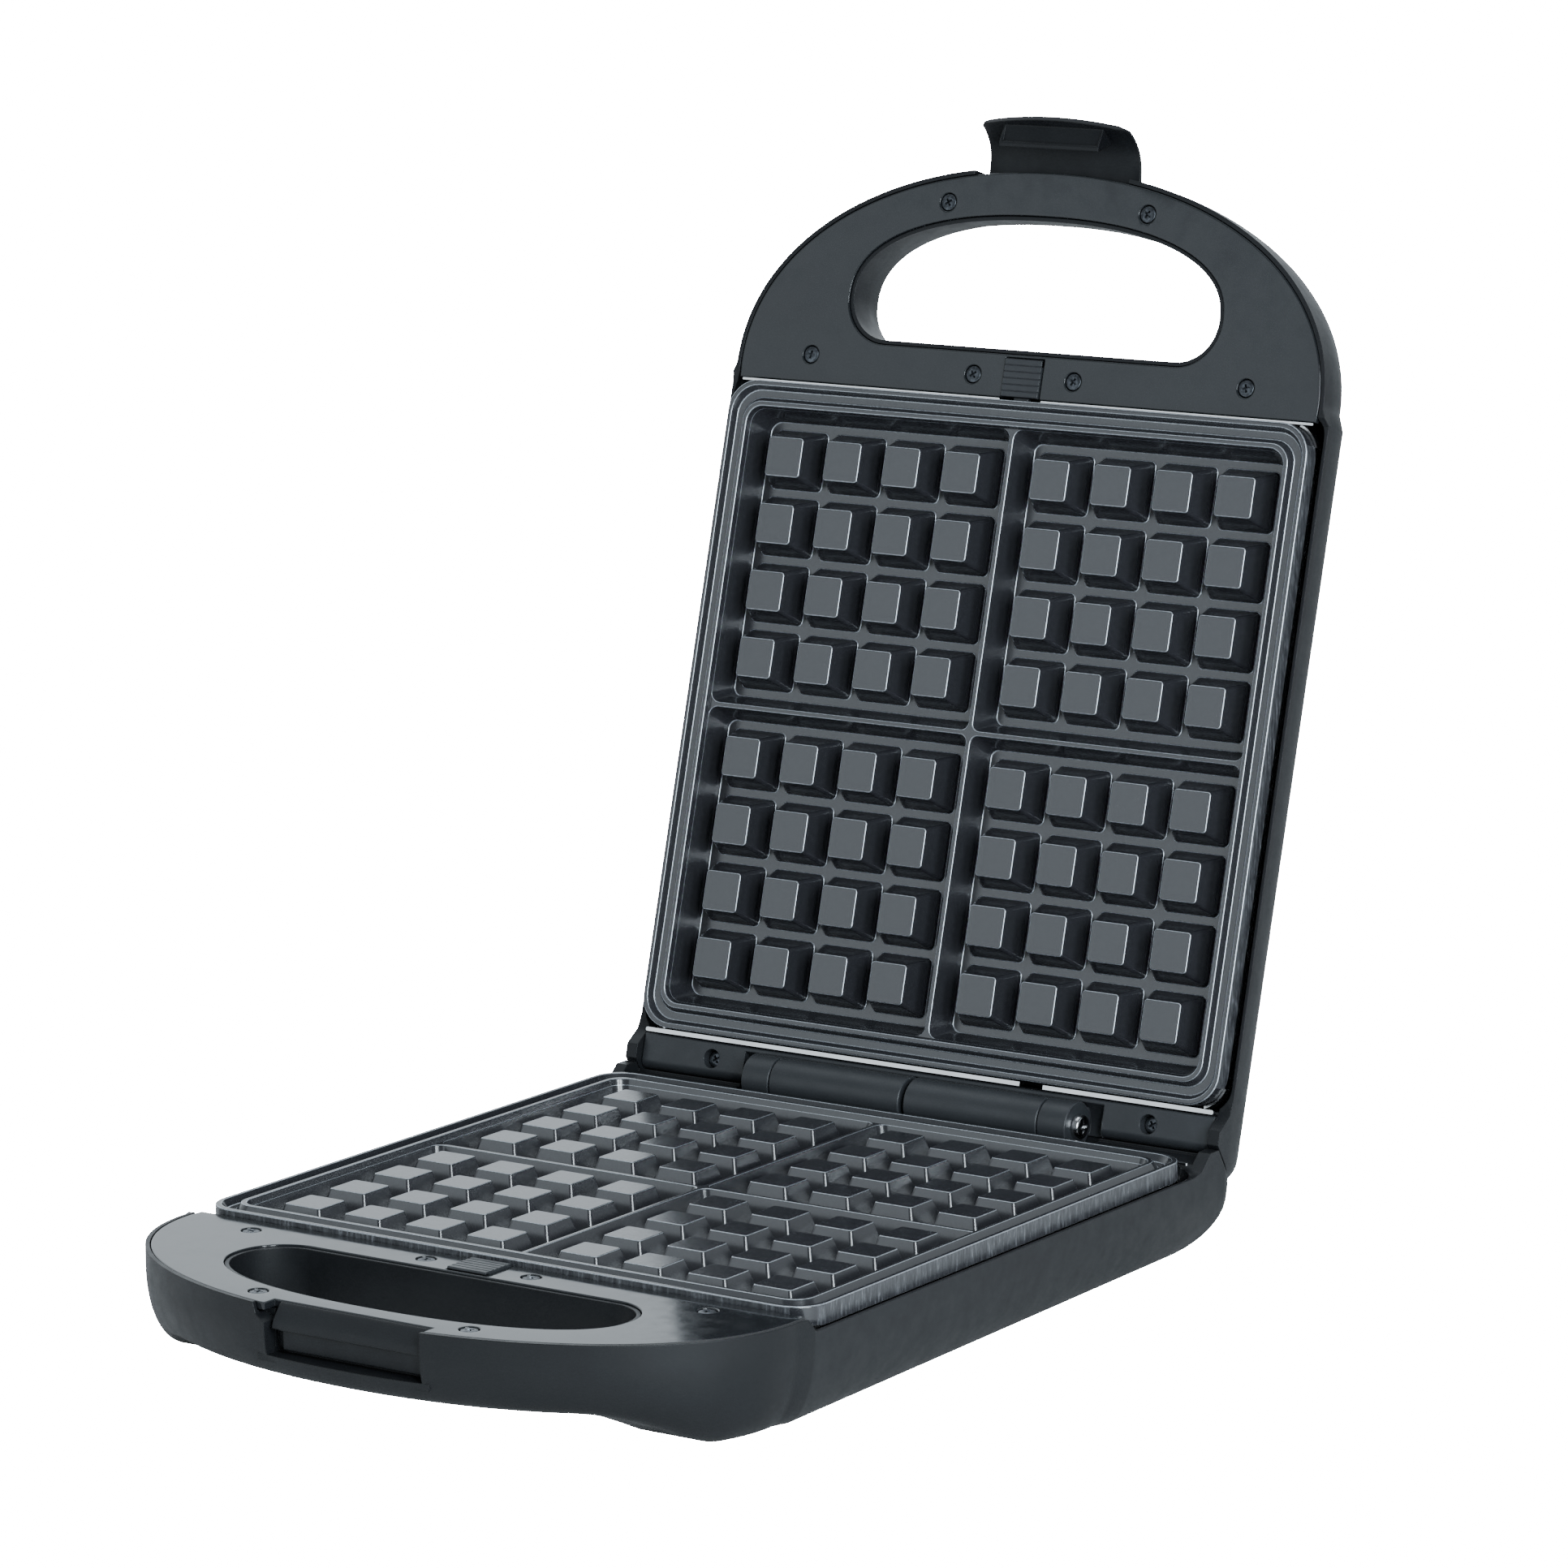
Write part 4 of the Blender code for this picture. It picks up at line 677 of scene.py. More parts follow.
def peg(bm, centre_x, centre_y):
    """A square frustum with rounded edges. Returns the edges round its foot."""
    profile = [(0.0125, FLOOR_Z), (PEG_FOOT, FLOOR_Z), (PEG_TOP, 0.0), (0.0, 0.0)]
    profile = rounded(profile, [0.0005, 0.0006])
    taper = (PEG_FOOT_CORNER - PEG_TOP_CORNER) / (PEG_FOOT - PEG_TOP)
    squash = PITCH_Y / PITCH_X
    made = []
    for half, z in profile[1:-1]:
        corner = PEG_TOP_CORNER + (taper if half > PEG_TOP else 1) * (half - PEG_TOP)
        outline = rounded_rectangle(-half, half, -half, half, corner, 4)
        made.append(add_ring(bm, [(centre_x + x, centre_y + y * squash, z) for x, y in outline]))
    for lower, upper, arc in zip(made, made[1:], on_arc(len(made) + 1, 2)[1:]):
        # the peg's foot and top fillets get the painted edge highlight
        join_rings(bm, lower, upper, EDGE if arc else BODY)
    bm.faces.new(made[-1])
    return loop_edges(bm, made[0])


def waffle_plate(half, body):
    """The cast plate: four wells of pegs between the dividers and the rim, over a closed underside."""
    bm = bmesh.new()
    first_inner = rounded([(0.0, CREST_Z), (CREST_HALF, CREST_Z), (FLOOR_IN, FLOOR_Z)], [0.0007])[1][0]
    tangent = first_inner + DIVIDER_CORNER
    plate_underside(bm, rim_rings(bm, tangent)[0])
    for sign_x in (-1, 1):
        for sign_y in (-1, 1):
            well(bm, sign_x, sign_y, tangent)
    mouths = [vert for vert in bm.verts if abs(vert.co.z - CREST_Z) < 1e-6]
    bmesh.ops.remove_doubles(bm, verts=mouths, dist=0.00002)
    fill(bm, [edge for edge in bm.edges if edge.is_boundary])
    bmesh.ops.recalc_face_normals(bm, faces=bm.faces)
    for face in bm.faces:
        middle = face.calc_center_median()
        outermost = max(abs(middle.x) - SKIRT_FROM_X, abs(middle.y) - SKIRT_FROM_Y) > 0
        if outermost and face.material_index == BODY and abs(face.normal.z) < 0.5:
            face.material_index = SKIRT
    plate = new_object(half["name"] + "_cast_plate", bm)
    finish_piece(
        plate, NONSTICK, half, body, half["name"] + "_waffle_plate",
        slot="nonstick_coating", smooth=50, materials=(NONSTICK, SKIRT_COAT, EDGE_HIGHLIGHT_COAT),
    )


# --- Casings ---


def ramp(y):
    """0 under the handle and 1 under the body, with a smooth step between."""
    share = min(1.0, max(0.0, (y - RAMP_FRONT_Y) / (RAMP_REAR_Y - RAMP_FRONT_Y)))
    return share * share * (3 - 2 * share)


def base_ring(share):
    """A ring round the base's casing, which is deeper under the body than under the handle."""
    ring = []
    drop, rear_drop = BASE["side_drop"], BASE["rear_drop"]
    for i, (_, y) in enumerate(case_outline(0.0)):
        deep = ramp(y)
        forward = min(1.0, max(0.0, (0.10 - y) / 0.25))
        belly = BASE["handle_belly"] + (BASE["belly"] + BELLY_FALL * forward - BASE["handle_belly"]) * deep
        width = HANDLE_CURVE + (BASE["side_curve"] - HANDLE_CURVE) * deep
        depth = drop + (belly - drop) * share
        inset = RIM_INSET + curve_in(depth, drop, belly, width)
        rear_inset = RIM_INSET + curve_in(depth, rear_drop, belly, BASE["rear_curve"])
        x, y = case_outline(inset, rear_inset)[i]
        ring.append((x, y, -depth))
    return ring


def depth_shares(steps):
    """Shares of a depth from 0 to 1, closer together towards the belly."""
    return [math.sin(math.radians(90 / steps * step)) for step in range(steps + 1)]


def base_solid():
    rings = [[(x, y, CASE_TOP) for x, y, _ in base_ring(0.0)]]
    rings += [base_ring(share) for share in depth_shares(BELLY_STEPS)]
    return loft("base_casing_shell", rings, ARC_STEPS // 2)


def lid_solid():
    """The lid's casing: a shallow solid out to the handle's end, joined to a deeper body."""
    half = LID
    drop, deep = half["side_drop"], half["handle_belly"] - half["side_drop"]
    rings = [level(case_outline(RIM_INSET), CASE_TOP)]
    for share in depth_shares(HANDLE_STEPS):
        depth = drop + deep * share
        inset = RIM_INSET + curve_in(depth, drop, half["handle_belly"], HANDLE_CURVE)
        rings.append([(x, y, -depth * taper(y)) for x, y in case_outline(inset)])
    solid = loft("lid_casing_shell", rings, ARC_STEPS // 2)
    body_rings = [body_ring(RIM_INSET, -drop + 0.0060)]
    for share in depth_shares(BELLY_STEPS):
        depth = drop + (half["belly"] - drop) * share
        inset = RIM_INSET + curve_in(depth, drop, half["belly"], half["side_curve"])
        body_rings.append(body_ring(inset, -depth))
    return union(solid, loft("body", body_rings))


def body_ring(inset, z):
    """A ring round the lid's deeper body, behind its handle."""
    half_x, front = CASE_HALF_X - inset, inset * 0.8 - 0.1275
    outline = rounded_rectangle(-half_x, half_x, front, CASE_REAR_Y - inset, CASE_REAR_CORNER + inset / 3)
    return [(x, y, z * taper(y)) for x, y in outline]


def taper(y):
    """How much shallower the lid's casing is than its full depth, towards the hinge."""
    return 1 - LID_TAPER * max(0.0, y / CASE_REAR_Y)


def under_handle(half):
    """The inside of a casing's handle, wide at the top for the cover, round the hole's sleeve."""
    ledge_z = half["cover_z"] - COVER_THICK - GAP
    floor = half["handle_belly"] - WALL
    ledge = RIM_INSET + COVER_LEDGE
    steps = [(CAVITY_TOP, ledge), (ledge_z, ledge), (ledge_z - 0.0001, RIM_INSET + WALL)]
    for depth in (half["side_drop"], floor - 0.006, floor - 0.002, floor):
        inset = curve_in(depth, half["side_drop"], floor, HANDLE_CURVE)
        steps.append((-depth, RIM_INSET + WALL + inset))
    rings = []
    for z, inset in steps:
        arc = handle_arc(inset)
        rear = -0.1020 + inset / 2
        rings.append(level([*arc, (arc[-1][0], rear), (arc[0][0], rear)], z))
    sleeve = prism("sleeve", hole_outline(GAP), -0.06, 0.03)
    root = prism("sleeve_root", hole_outline(-0.0011), -0.06, ledge_z - 0.0008)
    return cut(loft("under_handle", rings), sleeve, root)


def chamber(half):
    """The hollow under the waffle plate, narrowing downwards as the casing does."""
    front, corner = CHAMBER_FRONT_Y, CHAMBER_CORNER
    mouth = rounded_rectangle(-OPENING_HALF_X, OPENING_HALF_X, front, OPENING_REAR_Y, corner)
    rings = [level(mouth, CAVITY_TOP)]
    drop, floor = half["side_drop"], half["belly"] - WALL
    for share in (0.0, 0.35, 0.6, 0.8, 1.0):
        depth = drop + (floor - drop) * share
        inset = curve_in(depth, drop, floor, half["side_curve"])
        half_x, rear = OPENING_HALF_X - inset, OPENING_REAR_Y - 0.0015
        if half is LID:
            rear = min(rear, CASE_REAR_Y - RIM_INSET - WALL - inset)
        outline = rounded_rectangle(-half_x, half_x, front + inset, rear, corner)
        rings.append([(x, y, -depth * (taper(y) if half is LID else 1)) for x, y in outline])
    return loft("chamber", rings)


def hinge_z(half):
    """The hinge axis's height in the half's frame."""
    return HINGE_RISE if half is BASE else CLOSED_GAP - HINGE_RISE


def hinge_trough(name, axis_z, segments=48):
    """A cutter that leaves room for the barrels and collars to turn."""
    profile = [(0, TROUGH_R), (2 * POCKET_OUT_X, TROUGH_R)]
    return turned(name, (-POCKET_OUT_X, HINGE_Y, axis_z), profile, (1, 0, 0), segments)


def top_edge_cutter(half):
    """Everything above the casing's edge, level with the cover, low beside the plate, up again at the
    hinge ears and sloping away behind the hinge."""
    axis_z, slope = hinge_z(half), math.tan(half["rear_slope"])
    far = 0.30
    outline = [
        (-far, half["cover_z"]),
        (SHOULDER_Y - 0.0025, half["cover_z"]),
        (SHOULDER_Y + 0.0005, SIDE_RIM),
        (0.1150, SIDE_RIM),
        (0.1205, SIDE_RIM + 0.0012),
        (0.1240, SIDE_RIM + 0.0045),
        (0.1262, EAR_RISE),
        (HINGE_Y + (axis_z - EAR_RISE) / slope - GAP, EAR_RISE),
        (far - GAP, axis_z - (far - HINGE_Y) * slope),
        (far, 0.10),
        (-far, 0.10),
    ]
    return side_prism("top_edge", outline, -0.2, 0.2)


def casing(half):
    """A half's shell with all that both halves have: hollows, handle hole, top edge and hinge trough."""
    part = base_solid() if half is BASE else lid_solid()
    flare = ((-0.06, SLEEVE_WALL - 0.0110), (-0.014, SLEEVE_WALL), (0.02, SLEEVE_WALL))
    hole_rings = [level(hole_outline(inset), z) for z, inset in flare]
    deck_front = OPENING_REAR_Y - 0.004
    deck = box("deck", (-EAR_HALF_X, deck_front, REAR_DECK), (EAR_HALF_X, HINGE_Y + 0.002, 0.02))
    trough = hinge_trough("trough", hinge_z(half))
    sleeve_z = half["cover_z"] - SLEEVE_DROP
    sleeve_top = prism("sleeve_top", hole_outline(-0.0004), sleeve_z, 0.02)
    cut(part, under_handle(half), chamber(half), top_edge_cutter(half), loft("hole", hole_rings))
    return cut(part, deck, trough, sleeve_top)


def base_casing():
    """The base's shell, with the recess and catch for the latch and the cord gland's hole."""
    half = BASE
    part = casing(half)
    left_x, right_x, wall_x = RECESS_LEFT_X, RECESS_HALF_X, RECESS_HALF_X + 0.0024
    front, back, floor = RECESS_FRONT_Y, RECESS_BACK_Y, -RECESS_DEPTH
    under_cover = half["cover_z"] - COVER_THICK - GAP
    union(
        part,
        box("recess_back", (-wall_x, back - 0.001, floor - WALL), (wall_x, back + 0.0012, under_cover)),
        box("recess_floor", (-wall_x, front - 0.0005, floor - WALL), (wall_x, back, floor)),
        box("recess_left", (-wall_x, front, floor - WALL), (left_x, back, under_cover)),
        box("recess_right", (right_x, front, floor - WALL), (wall_x, back, under_cover)),
    )
    cut(part, box("recess", (left_x, -0.22, floor), (right_x, back, 0.01)), slanting_end(left_x + 0.0002))
    union(part, side_prism("catch", catch_outline(half, under_cover), left_x + 0.0016, right_x + 0.0004))
    pocket_low = (left_x - 0.0001, front - 0.0005, -0.0160)
    pocket = box("pocket_left", pocket_low, (left_x + 0.0045, -0.1950, -0.0090))
    gland_hole = turned("gland_hole", (-0.08, 0.12, -0.025), [(0, 0.0063), (0.05, 0.0063)], (0, 1, 0))
    cut(part, pocket, gland_hole)
    finish_piece(part, CASING_PLASTIC, half, "base", "base_casing", slot="black_plastic")


def slanting_end(right_x):
    """The cutter for the recess's slanting left end."""
    outline = [(-0.0345, 0.0100), (-0.0345, -0.0012), (-0.0332, -0.0048), (right_x, -0.0070)]
    outline.append((right_x, 0.0100))
    slant = prism("slant", outline, 0, 0.0150)
    slant.data.transform(Matrix.Translation((0, -0.1950, 0)) @ Matrix.Rotation(math.pi / 2, 4, "X"))
    return slant


def catch_outline(half, under_cover):
    """The sloping catch over the pocket that the latch's bar hooks into, as (y, z)."""
    top, back, pocket_low = half["cover_z"] - 0.0004, RECESS_BACK_Y, -0.0158
    return [
        (back + 0.0006, under_cover - 0.0002), (back - 0.0001, under_cover), (back - 0.0004, top),
        (-0.1950, top - 0.0008), (-0.1982, -0.0062), (-0.1990, -0.0086), (-0.1988, -0.0092),
        (-0.1972, -0.0096), (-0.1968, pocket_low), (back + 0.0006, pocket_low),
    ]


def lid_casing():
    """The lid's shell, with the hinge bar's seat, the latch's notch and the two lenses' holes."""
    half = LID
    part = casing(half)
    notch_floor = LATCH_Z - 0.0040
    wall_x = LATCH_NOTCH_HALF_X + NOTCH_WALL
    seat_low = (-EAR_HALF_X, OPENING_REAR_Y - 0.004, -0.0100)
    cut(part, box("seat", seat_low, (EAR_HALF_X, HINGE_Y + 0.0030, 0.02)))
    union(
        part,
        box("notch_back", (-wall_x, -0.1920, NOTCH_LOW), (wall_x, -0.1895, -0.0060)),
        box("notch_floor", (-wall_x, -0.1985, NOTCH_LOW), (wall_x, -0.1897, notch_floor + 0.0005)),
    )
    notch_low = (-LATCH_NOTCH_HALF_X, -0.23, notch_floor)
    cut(part, box("notch", notch_low, (LATCH_NOTCH_HALF_X, NOTCH_BACK_Y, 0.02)))
    hole = [(0, LENS_HOLE_R), (0.04, LENS_HOLE_R)]
    for side, _ in SIDES:
        cut(part, turned("lens_hole", (side * 0.010, -0.108, -0.05), hole, (0, 0, 1)))
    finish_piece(part, CASING_PLASTIC, half, "lid", "lid_casing", slot="black_plastic")


# --- Handle covers, screws and slides ---


def cover_outline(half):
    """The cover's edge, with the slide's slot in its rear edge and, on the base, a notch at the catch."""
    inset = RIM_INSET + COVER_LEDGE + GAP
    arc = handle_arc(inset)
    if half is BASE:
        left = [point for point in arc if point[0] < -RECESS_HALF_X]
        right = [point for point in arc if point[0] > RECESS_HALF_X]
        notch = [(-RECESS_HALF_X, RECESS_BACK_Y), (RECESS_HALF_X, RECESS_BACK_Y)]
        arc = [*left, (-RECESS_HALF_X, left[-1][1]), *notch, (RECESS_HALF_X, right[0][1]), *right]
    shoulder = HANDLE_HALF_X - inset - 0.0004
    slot_x = SLIDE_HALF_X + GAP
    rear_y = COVER_REAR_Y + (0.0007 if half is BASE else 0.0)
    slot = [(slot_x, rear_y), (slot_x, SLOT_FRONT_Y), (-slot_x, SLOT_FRONT_Y), (-slot_x, rear_y)]
    return [*arc, (shoulder, rear_y), *slot, (-shoulder, rear_y)]


def handle_cover(half, body):
    """Flat panel with rounded edges, round the hole and the counterbored screws."""
    bm = bmesh.new()
    top, low = half["cover_z"], half["cover_z"] - COVER_THICK
    loops = [cover_outline(half), hole_outline(0.0)[::-1]]
    loops += [circle(x, y, SCREW_HEAD_R + 0.00035)[::-1] for x, y in screw_spots(half)]
    top_edges, low_edges = [], []
    for loop in loops:
        edge = 0.0004 if loop is not loops[0] else 0.0005
        rings = [add_ring(bm, level(loop, low))]
        for turn in (0, 30, 60, 90):
            angle = math.radians(turn)
            moved = offset_loop(loop, edge * (1 - math.cos(angle)))
            rings.append(add_ring(bm, level(moved, top - edge * (1 - math.sin(angle)))))
        for lower, upper in zip(rings, rings[1:]):
            join_rings(bm, lower, upper)
        top_edges += loop_edges(bm, rings[-1])
        low_edges += loop_edges(bm, rings[0])
    fill(bm, top_edges)
    fill(bm, low_edges)
    name = half["name"]
    panel = new_object(name + "_cover_panel", bm)
    finish_piece(panel, COVER_PLASTIC, half, body, name + "_handle_cover", slot="cover_plastic")


def screw_spots(half):
    """The cover's six screws as (x, y), numbered as in the CAD."""
    return [(side * half["mirror_x"] * x, y) for x, y in SCREW_SPOTS for side in (-1, 1)]


def cross_screw(name, head_top, turn, half, body, stands_for):
    """Pan-head screw with a cross recess. head_top is the middle of its head's face."""
    radius, height = SCREW_HEAD_R, SCREW_HEAD_H
    crown = 0.00012
    profile = [(-0.009, SCREW_SHANK_R), (-height, SCREW_SHANK_R), (-height, radius)]
    profile += [(-0.00005, radius), (crown, 0.0018), (crown, 0.0002)]
    profile = rounded(profile, [0.0, 0.0, 0.00035, 0.0002], 3)
    head = turned(name, (0, 0, 0), profile, (0, 0, 1), 40)
    wide, narrow = 0.0020, 0.00050
    slot = [(-wide, -narrow), (wide, -narrow), (wide, narrow), (-wide, narrow)]
    for quarter in (0, 90):
        rings = [[(x * 0.45, y * 0.6, -0.0011) for x, y in slot], [(x, y, 0.001) for x, y in slot]]
        blade = loft("blade", rings)
        blade.data.transform(Matrix.Rotation(math.radians(quarter), 4, "Z"))
        cut(head, blade)
    head.data.transform(Matrix.Translation(head_top) @ Matrix.Rotation(math.radians(turn), 4, "Z"))
    finish_piece(head, SCREW_STEEL, half, body, stands_for, slot="screw_steel", smooth=40)


def handle_screws(half, body):
    name = half["name"]
    for number, (x, y) in enumerate(screw_spots(half), 1):
        head_top = (x, y, half["cover_z"] - 0.0003)
        turn = 23 * number + (11 if half is LID else 0)
        node = f"{name}_handle_screw_{number}"
        cross_screw(f"{name}_cross_screw_{number}", head_top, turn, half, body, node)


def release_slide(half):
    """Ribbed button in a slot in the cover's rear edge, its cap lapping over the slot's front end."""
    top = half["cover_z"] + 0.0009
    low = half["cover_z"] - 0.0028
    cap = half["cover_z"] + 0.0002
    pitch = (SLIDE_REAR_Y - CAP_FRONT_Y) / SLIDE_RIBS
    outline = [(SLIDE_REAR_Y, low), (SLIDE_REAR_Y, top - 0.0006)]
    for rib in range(SLIDE_RIBS):
        crest = SLIDE_REAR_Y - pitch * (rib + 0.5)
        outline += [
            (crest + pitch * 0.42, top), (crest - pitch * 0.34, top), (crest - pitch * 0.42, top - 0.0004),
        ]
    outline += [(CAP_FRONT_Y, cap), (SLIDE_FRONT_Y, cap), (SLIDE_FRONT_Y, low)]
    name = half["name"]
    slide = side_prism(name + "_slide_button", outline[::-1], -SLIDE_HALF_X, SLIDE_HALF_X)
    tongue = box("tongue", (-0.003, SLIDE_REAR_Y - 0.001, low), (0.003, -0.1177, low + 0.0018))
    union(slide, tongue)
    body, node = name + "_slide", name + "_release_slide"
    finish_piece(slide, HINGE_PLASTIC, half, body, node, slot="black_plastic", smooth=20)


# --- Reflector trays ---


def reflector_tray(half, body):
    """Polished pan under the plate, its rim standing just inside the casing's opening."""
    curve, mirror, name = half["side_curve"], half["mirror_x"], half["name"]
    floor = half["side_drop"] + (half["belly"] - WALL - half["side_drop"]) * 0.72
    steps = [(PAN_RIM_X, PAN_RIM_Z), (PAN_RIM_X, PAN_RIM_Z - PAN_SHEET)]
    steps += [(0.1198 - curve * 0.20, -floor * 0.85), (0.1190 - curve * 0.30, -floor)]
    outside, inside = [], []
    for half_x, z in steps:
        for rings, inset in ((outside, 0.0), (inside, PAN_SHEET)):
            x = half_x - inset
            y = min(x - 0.0020, PAN_RIM_Y - inset)
            raised = z if z == PAN_RIM_Z else z + inset
            rings.append(level(rounded_rectangle(-x, x, -y, y, 0.0105), raised))
    bm = bmesh.new()
    made = [add_ring(bm, ring) for ring in outside + inside[::-1]]
    deepest = len(outside) - 1
    for number, (lower, upper) in enumerate(zip(made, made[1:] + made[:1])):
        if number == deepest:
            bm.faces.new(lower)
            bm.faces.new(upper)
        else:
            join_rings(bm, lower, upper)
    tray = new_object(name + "_steel_tray", bm)
    near, far = STRIP_BREAK
    parts = []
    for low_x, high_x in ((-STRIP_END, near), (far, STRIP_END)):
        low_x, high_x = sorted((mirror * low_x, mirror * high_x))
        parts.append(strip(low_x, high_x, 0.1194, 0.1209, -0.0016))
    front_z = -0.0034 if half is LID else -0.0050
    for low_x, high_x in ((-STRIP_END, -0.0085), (0.0085, STRIP_END)):
        parts.append(strip(low_x, high_x, -0.1198, -0.1190, front_z))
    parts += [corner_tab(sign_x, sign_y) for sign_x in (-1, 1) for sign_y in (-1, 1)]
    union(tray, *parts)
    break_low, break_high = sorted((mirror * (near - 0.0010), mirror * (far + 0.0010)))
    cut(tray, box("break", (break_low, 0.1120, -0.0220), (break_high, 0.1250, 0.0)))
    finish_piece(tray, BRIGHT_STEEL, half, body, name + "_reflector_tray", slot="bright_steel", smooth=40)


def strip(low_x, high_x, low_y, high_y, top):
    """A thin flat strip with round ends, on a stem down to the pan."""
    radius = min(0.0018, (high_y - low_y) / 2 - 0.00005)
    outline = rounded_rectangle(low_x, high_x, low_y, high_y, radius, 6)
    flat = prism("strip", outline, top - PAN_SHEET, top)
    middle = (low_y + high_y) / 2
    near = math.copysign(abs(middle) + 0.0003, middle)
    low, high = sorted((near, near - math.copysign(0.0007, middle)))
    return union(flat, box("stem", (low_x + 0.004, low, -0.0098), (high_x - 0.004, high, top - 0.0004)))


def corner_tab(sign_x, sign_y):
    """The pan's rim, pressed up round a corner of the plate."""
    bm = bmesh.new()
    outer, inner = 0.0125, 0.0117
    centre_x, centre_y = 0.1210 - outer, 0.1200 - outer
    angles = [math.radians(20 + 50 * step / 6) for step in range(7)]
    outline = []
    for radius, order in ((outer, 1), (inner, -1)):
        for a in angles[::order]:
            x, y = polar(centre_x, centre_y, radius, a)
            outline.append((sign_x * x, sign_y * y))
    add_loft(bm, [level(outline, -0.0098), level(outline, -0.0052)])
    return new_object("corner_tab", bm)


# --- Hinge ---


def hinge_barrel(side, word):
    """One of the base's two long barrels, bored at its outer end for the pin."""
    axis = hinge_z(BASE)
    length = BARREL_OUT_X - BARREL_IN_X
    profile = rounded([(0, 0.0), (0, BARREL_R), (length, BARREL_R), (length, 0.0)], [0.0006, 0.0006], 4)
    profile = [(along, max(radius, 0.00005)) for along, radius in profile]
    start = (side * BARREL_IN_X, HINGE_Y, axis)
    barrel = turned("barrel_" + word, start, profile, (side, 0, 0), ROUND_SEGMENTS)
    low, high = sorted((side * BARREL_IN_X, side * BARREL_OUT_X))
    foot_low = (low + 0.0002, HINGE_Y - 0.0040, -0.0125)
    union(barrel, box("foot", foot_low, (high - 0.0002, HINGE_Y + 0.0040, axis - 0.005)))
    start = (side * (BARREL_OUT_X - 0.020), HINGE_Y, axis)
    cut(barrel, turned("bore", start, [(0, PIN_BORE_R), (0.03, PIN_BORE_R)], (side, 0, 0)))
    finish_piece(barrel, HINGE_PLASTIC, BASE, "base", "base_hinge_barrel_" + word, slot="black_plastic")


def hinge_pin(side, word):
    """Shouldered hinge screw with a chromed cross head."""
    axis = hinge_z(LID)
    turn = side * LID["mirror_x"]
    tip, head_in = BARREL_OUT_X - PIN_SEAT, COLLAR_OUT_X + GAP
    reach, head = head_in - tip, 0.0022
    points = [(0, 0.0001), (0, PIN_R), (reach, PIN_R), (reach, 0.0045)]
    points += [(reach + head, 0.0042), (reach + head, 0.0001)]
    profile = rounded(points, [0.0004, 0.0, 0.0, 0.0008], 4)
    pin = turned("pivot_screw_" + word, (0, 0, 0), profile, (0, 0, 1), 48)
    for quarter in (15, 105):
        blade_low, blade_high = reach + head - 0.0011, reach + head + 0.002
        blade = box("blade", (-0.0024, -0.0005, blade_low), (0.0024, 0.0005, blade_high))
        blade.data.transform(Matrix.Rotation(math.radians(quarter), 4, "Z"))
        cut(pin, blade)
    aim = Vector((0, 0, 1)).rotation_difference(Vector((turn, 0, 0))).to_matrix().to_4x4()
    pin.data.transform(Matrix.Translation((turn * tip, HINGE_Y, axis)) @ aim)
    finish_piece(pin, CHROME, LID, "lid", "hinge_pin_" + word, slot="bright_steel", smooth=40)


def hinge_cover():
    """Moulded bar along the lid's rear edge, with the two hinge collars."""
    axis = hinge_z(LID)
    low, top = -0.0097, REAR_DECK
    front, rear = OPENING_REAR_Y - 0.0010, HINGE_Y + 0.0027
    outline = rounded([(front, low), (front, top), (rear, top), (rear, low)], [0.0008, 0.0068], 8)
    half_x = EAR_HALF_X - GAP
    bar = side_prism("hinge_bar", outline, -half_x, half_x)
    cut(bar, hinge_trough("clear", axis, ROUND_SEGMENTS))
    length = COLLAR_OUT_X - COLLAR_IN_X
    profile = [(0, COLLAR_BORE_R), (0, BARREL_R), (length, BARREL_R), (length, COLLAR_BORE_R)]
    profile = rounded(profile, [0.0005, 0.0005], 4)
    for side, _ in SIDES:
        start = (side * COLLAR_IN_X, HINGE_Y, axis)
        collar = turned("collar", start, profile, (side, 0, 0), ROUND_SEGMENTS, hollow=True)
        foot_low, foot_high = sorted((side * (COLLAR_IN_X + 0.0002), side * (COLLAR_OUT_X - 0.0002)))
        foot = box("foot", (foot_low, front, low), (foot_high, HINGE_Y + 0.0025, axis - 0.0060))
        union(bar, collar, foot)
        x = side * HINGE_SCREW_X[side]
        cut(bar, turned("sink", (x, HINGE_SCREW_Y, -0.0072), [(0, 0.0034), (0.03, 0.0036)], (0, 0, 1), 40))
    finish_piece(bar, HINGE_PLASTIC, LID, "lid", "lid_hinge_cover", slot="black_plastic")
    for side, word in SIDES:
        flipped = side * LID["mirror_x"]
        head_top = (flipped * HINGE_SCREW_X[flipped], HINGE_SCREW_Y, -0.0056)
        node = "lid_hinge_cover_screw_" + word
        cross_screw("bar_cross_screw_" + word, head_top, 31, LID, "lid", node)


# --- Latch ---
LATCH_TIP = Vector((-0.0215, 0.0125))
LATCH_BULGE, LATCH_SHEET, LATCH_CURL = 0.0042, 0.0024, 0.0022


def sheet_faces(share, thickness):
    """The clip's two faces, as (y, z) from its pin, this share of the way to its tip."""
    across = Vector((LATCH_TIP.y, -LATCH_TIP.x)).normalized()
    along = LATCH_TIP.normalized()
    bend = LATCH_BULGE * math.pi / LATCH_TIP.length * math.cos(math.pi * share)
    middle = LATCH_TIP * share - across * LATCH_BULGE * math.sin(math.pi * share)
    normal = (across + along * bend).normalized() * (thickness / 2)
    return middle - normal, middle + normal


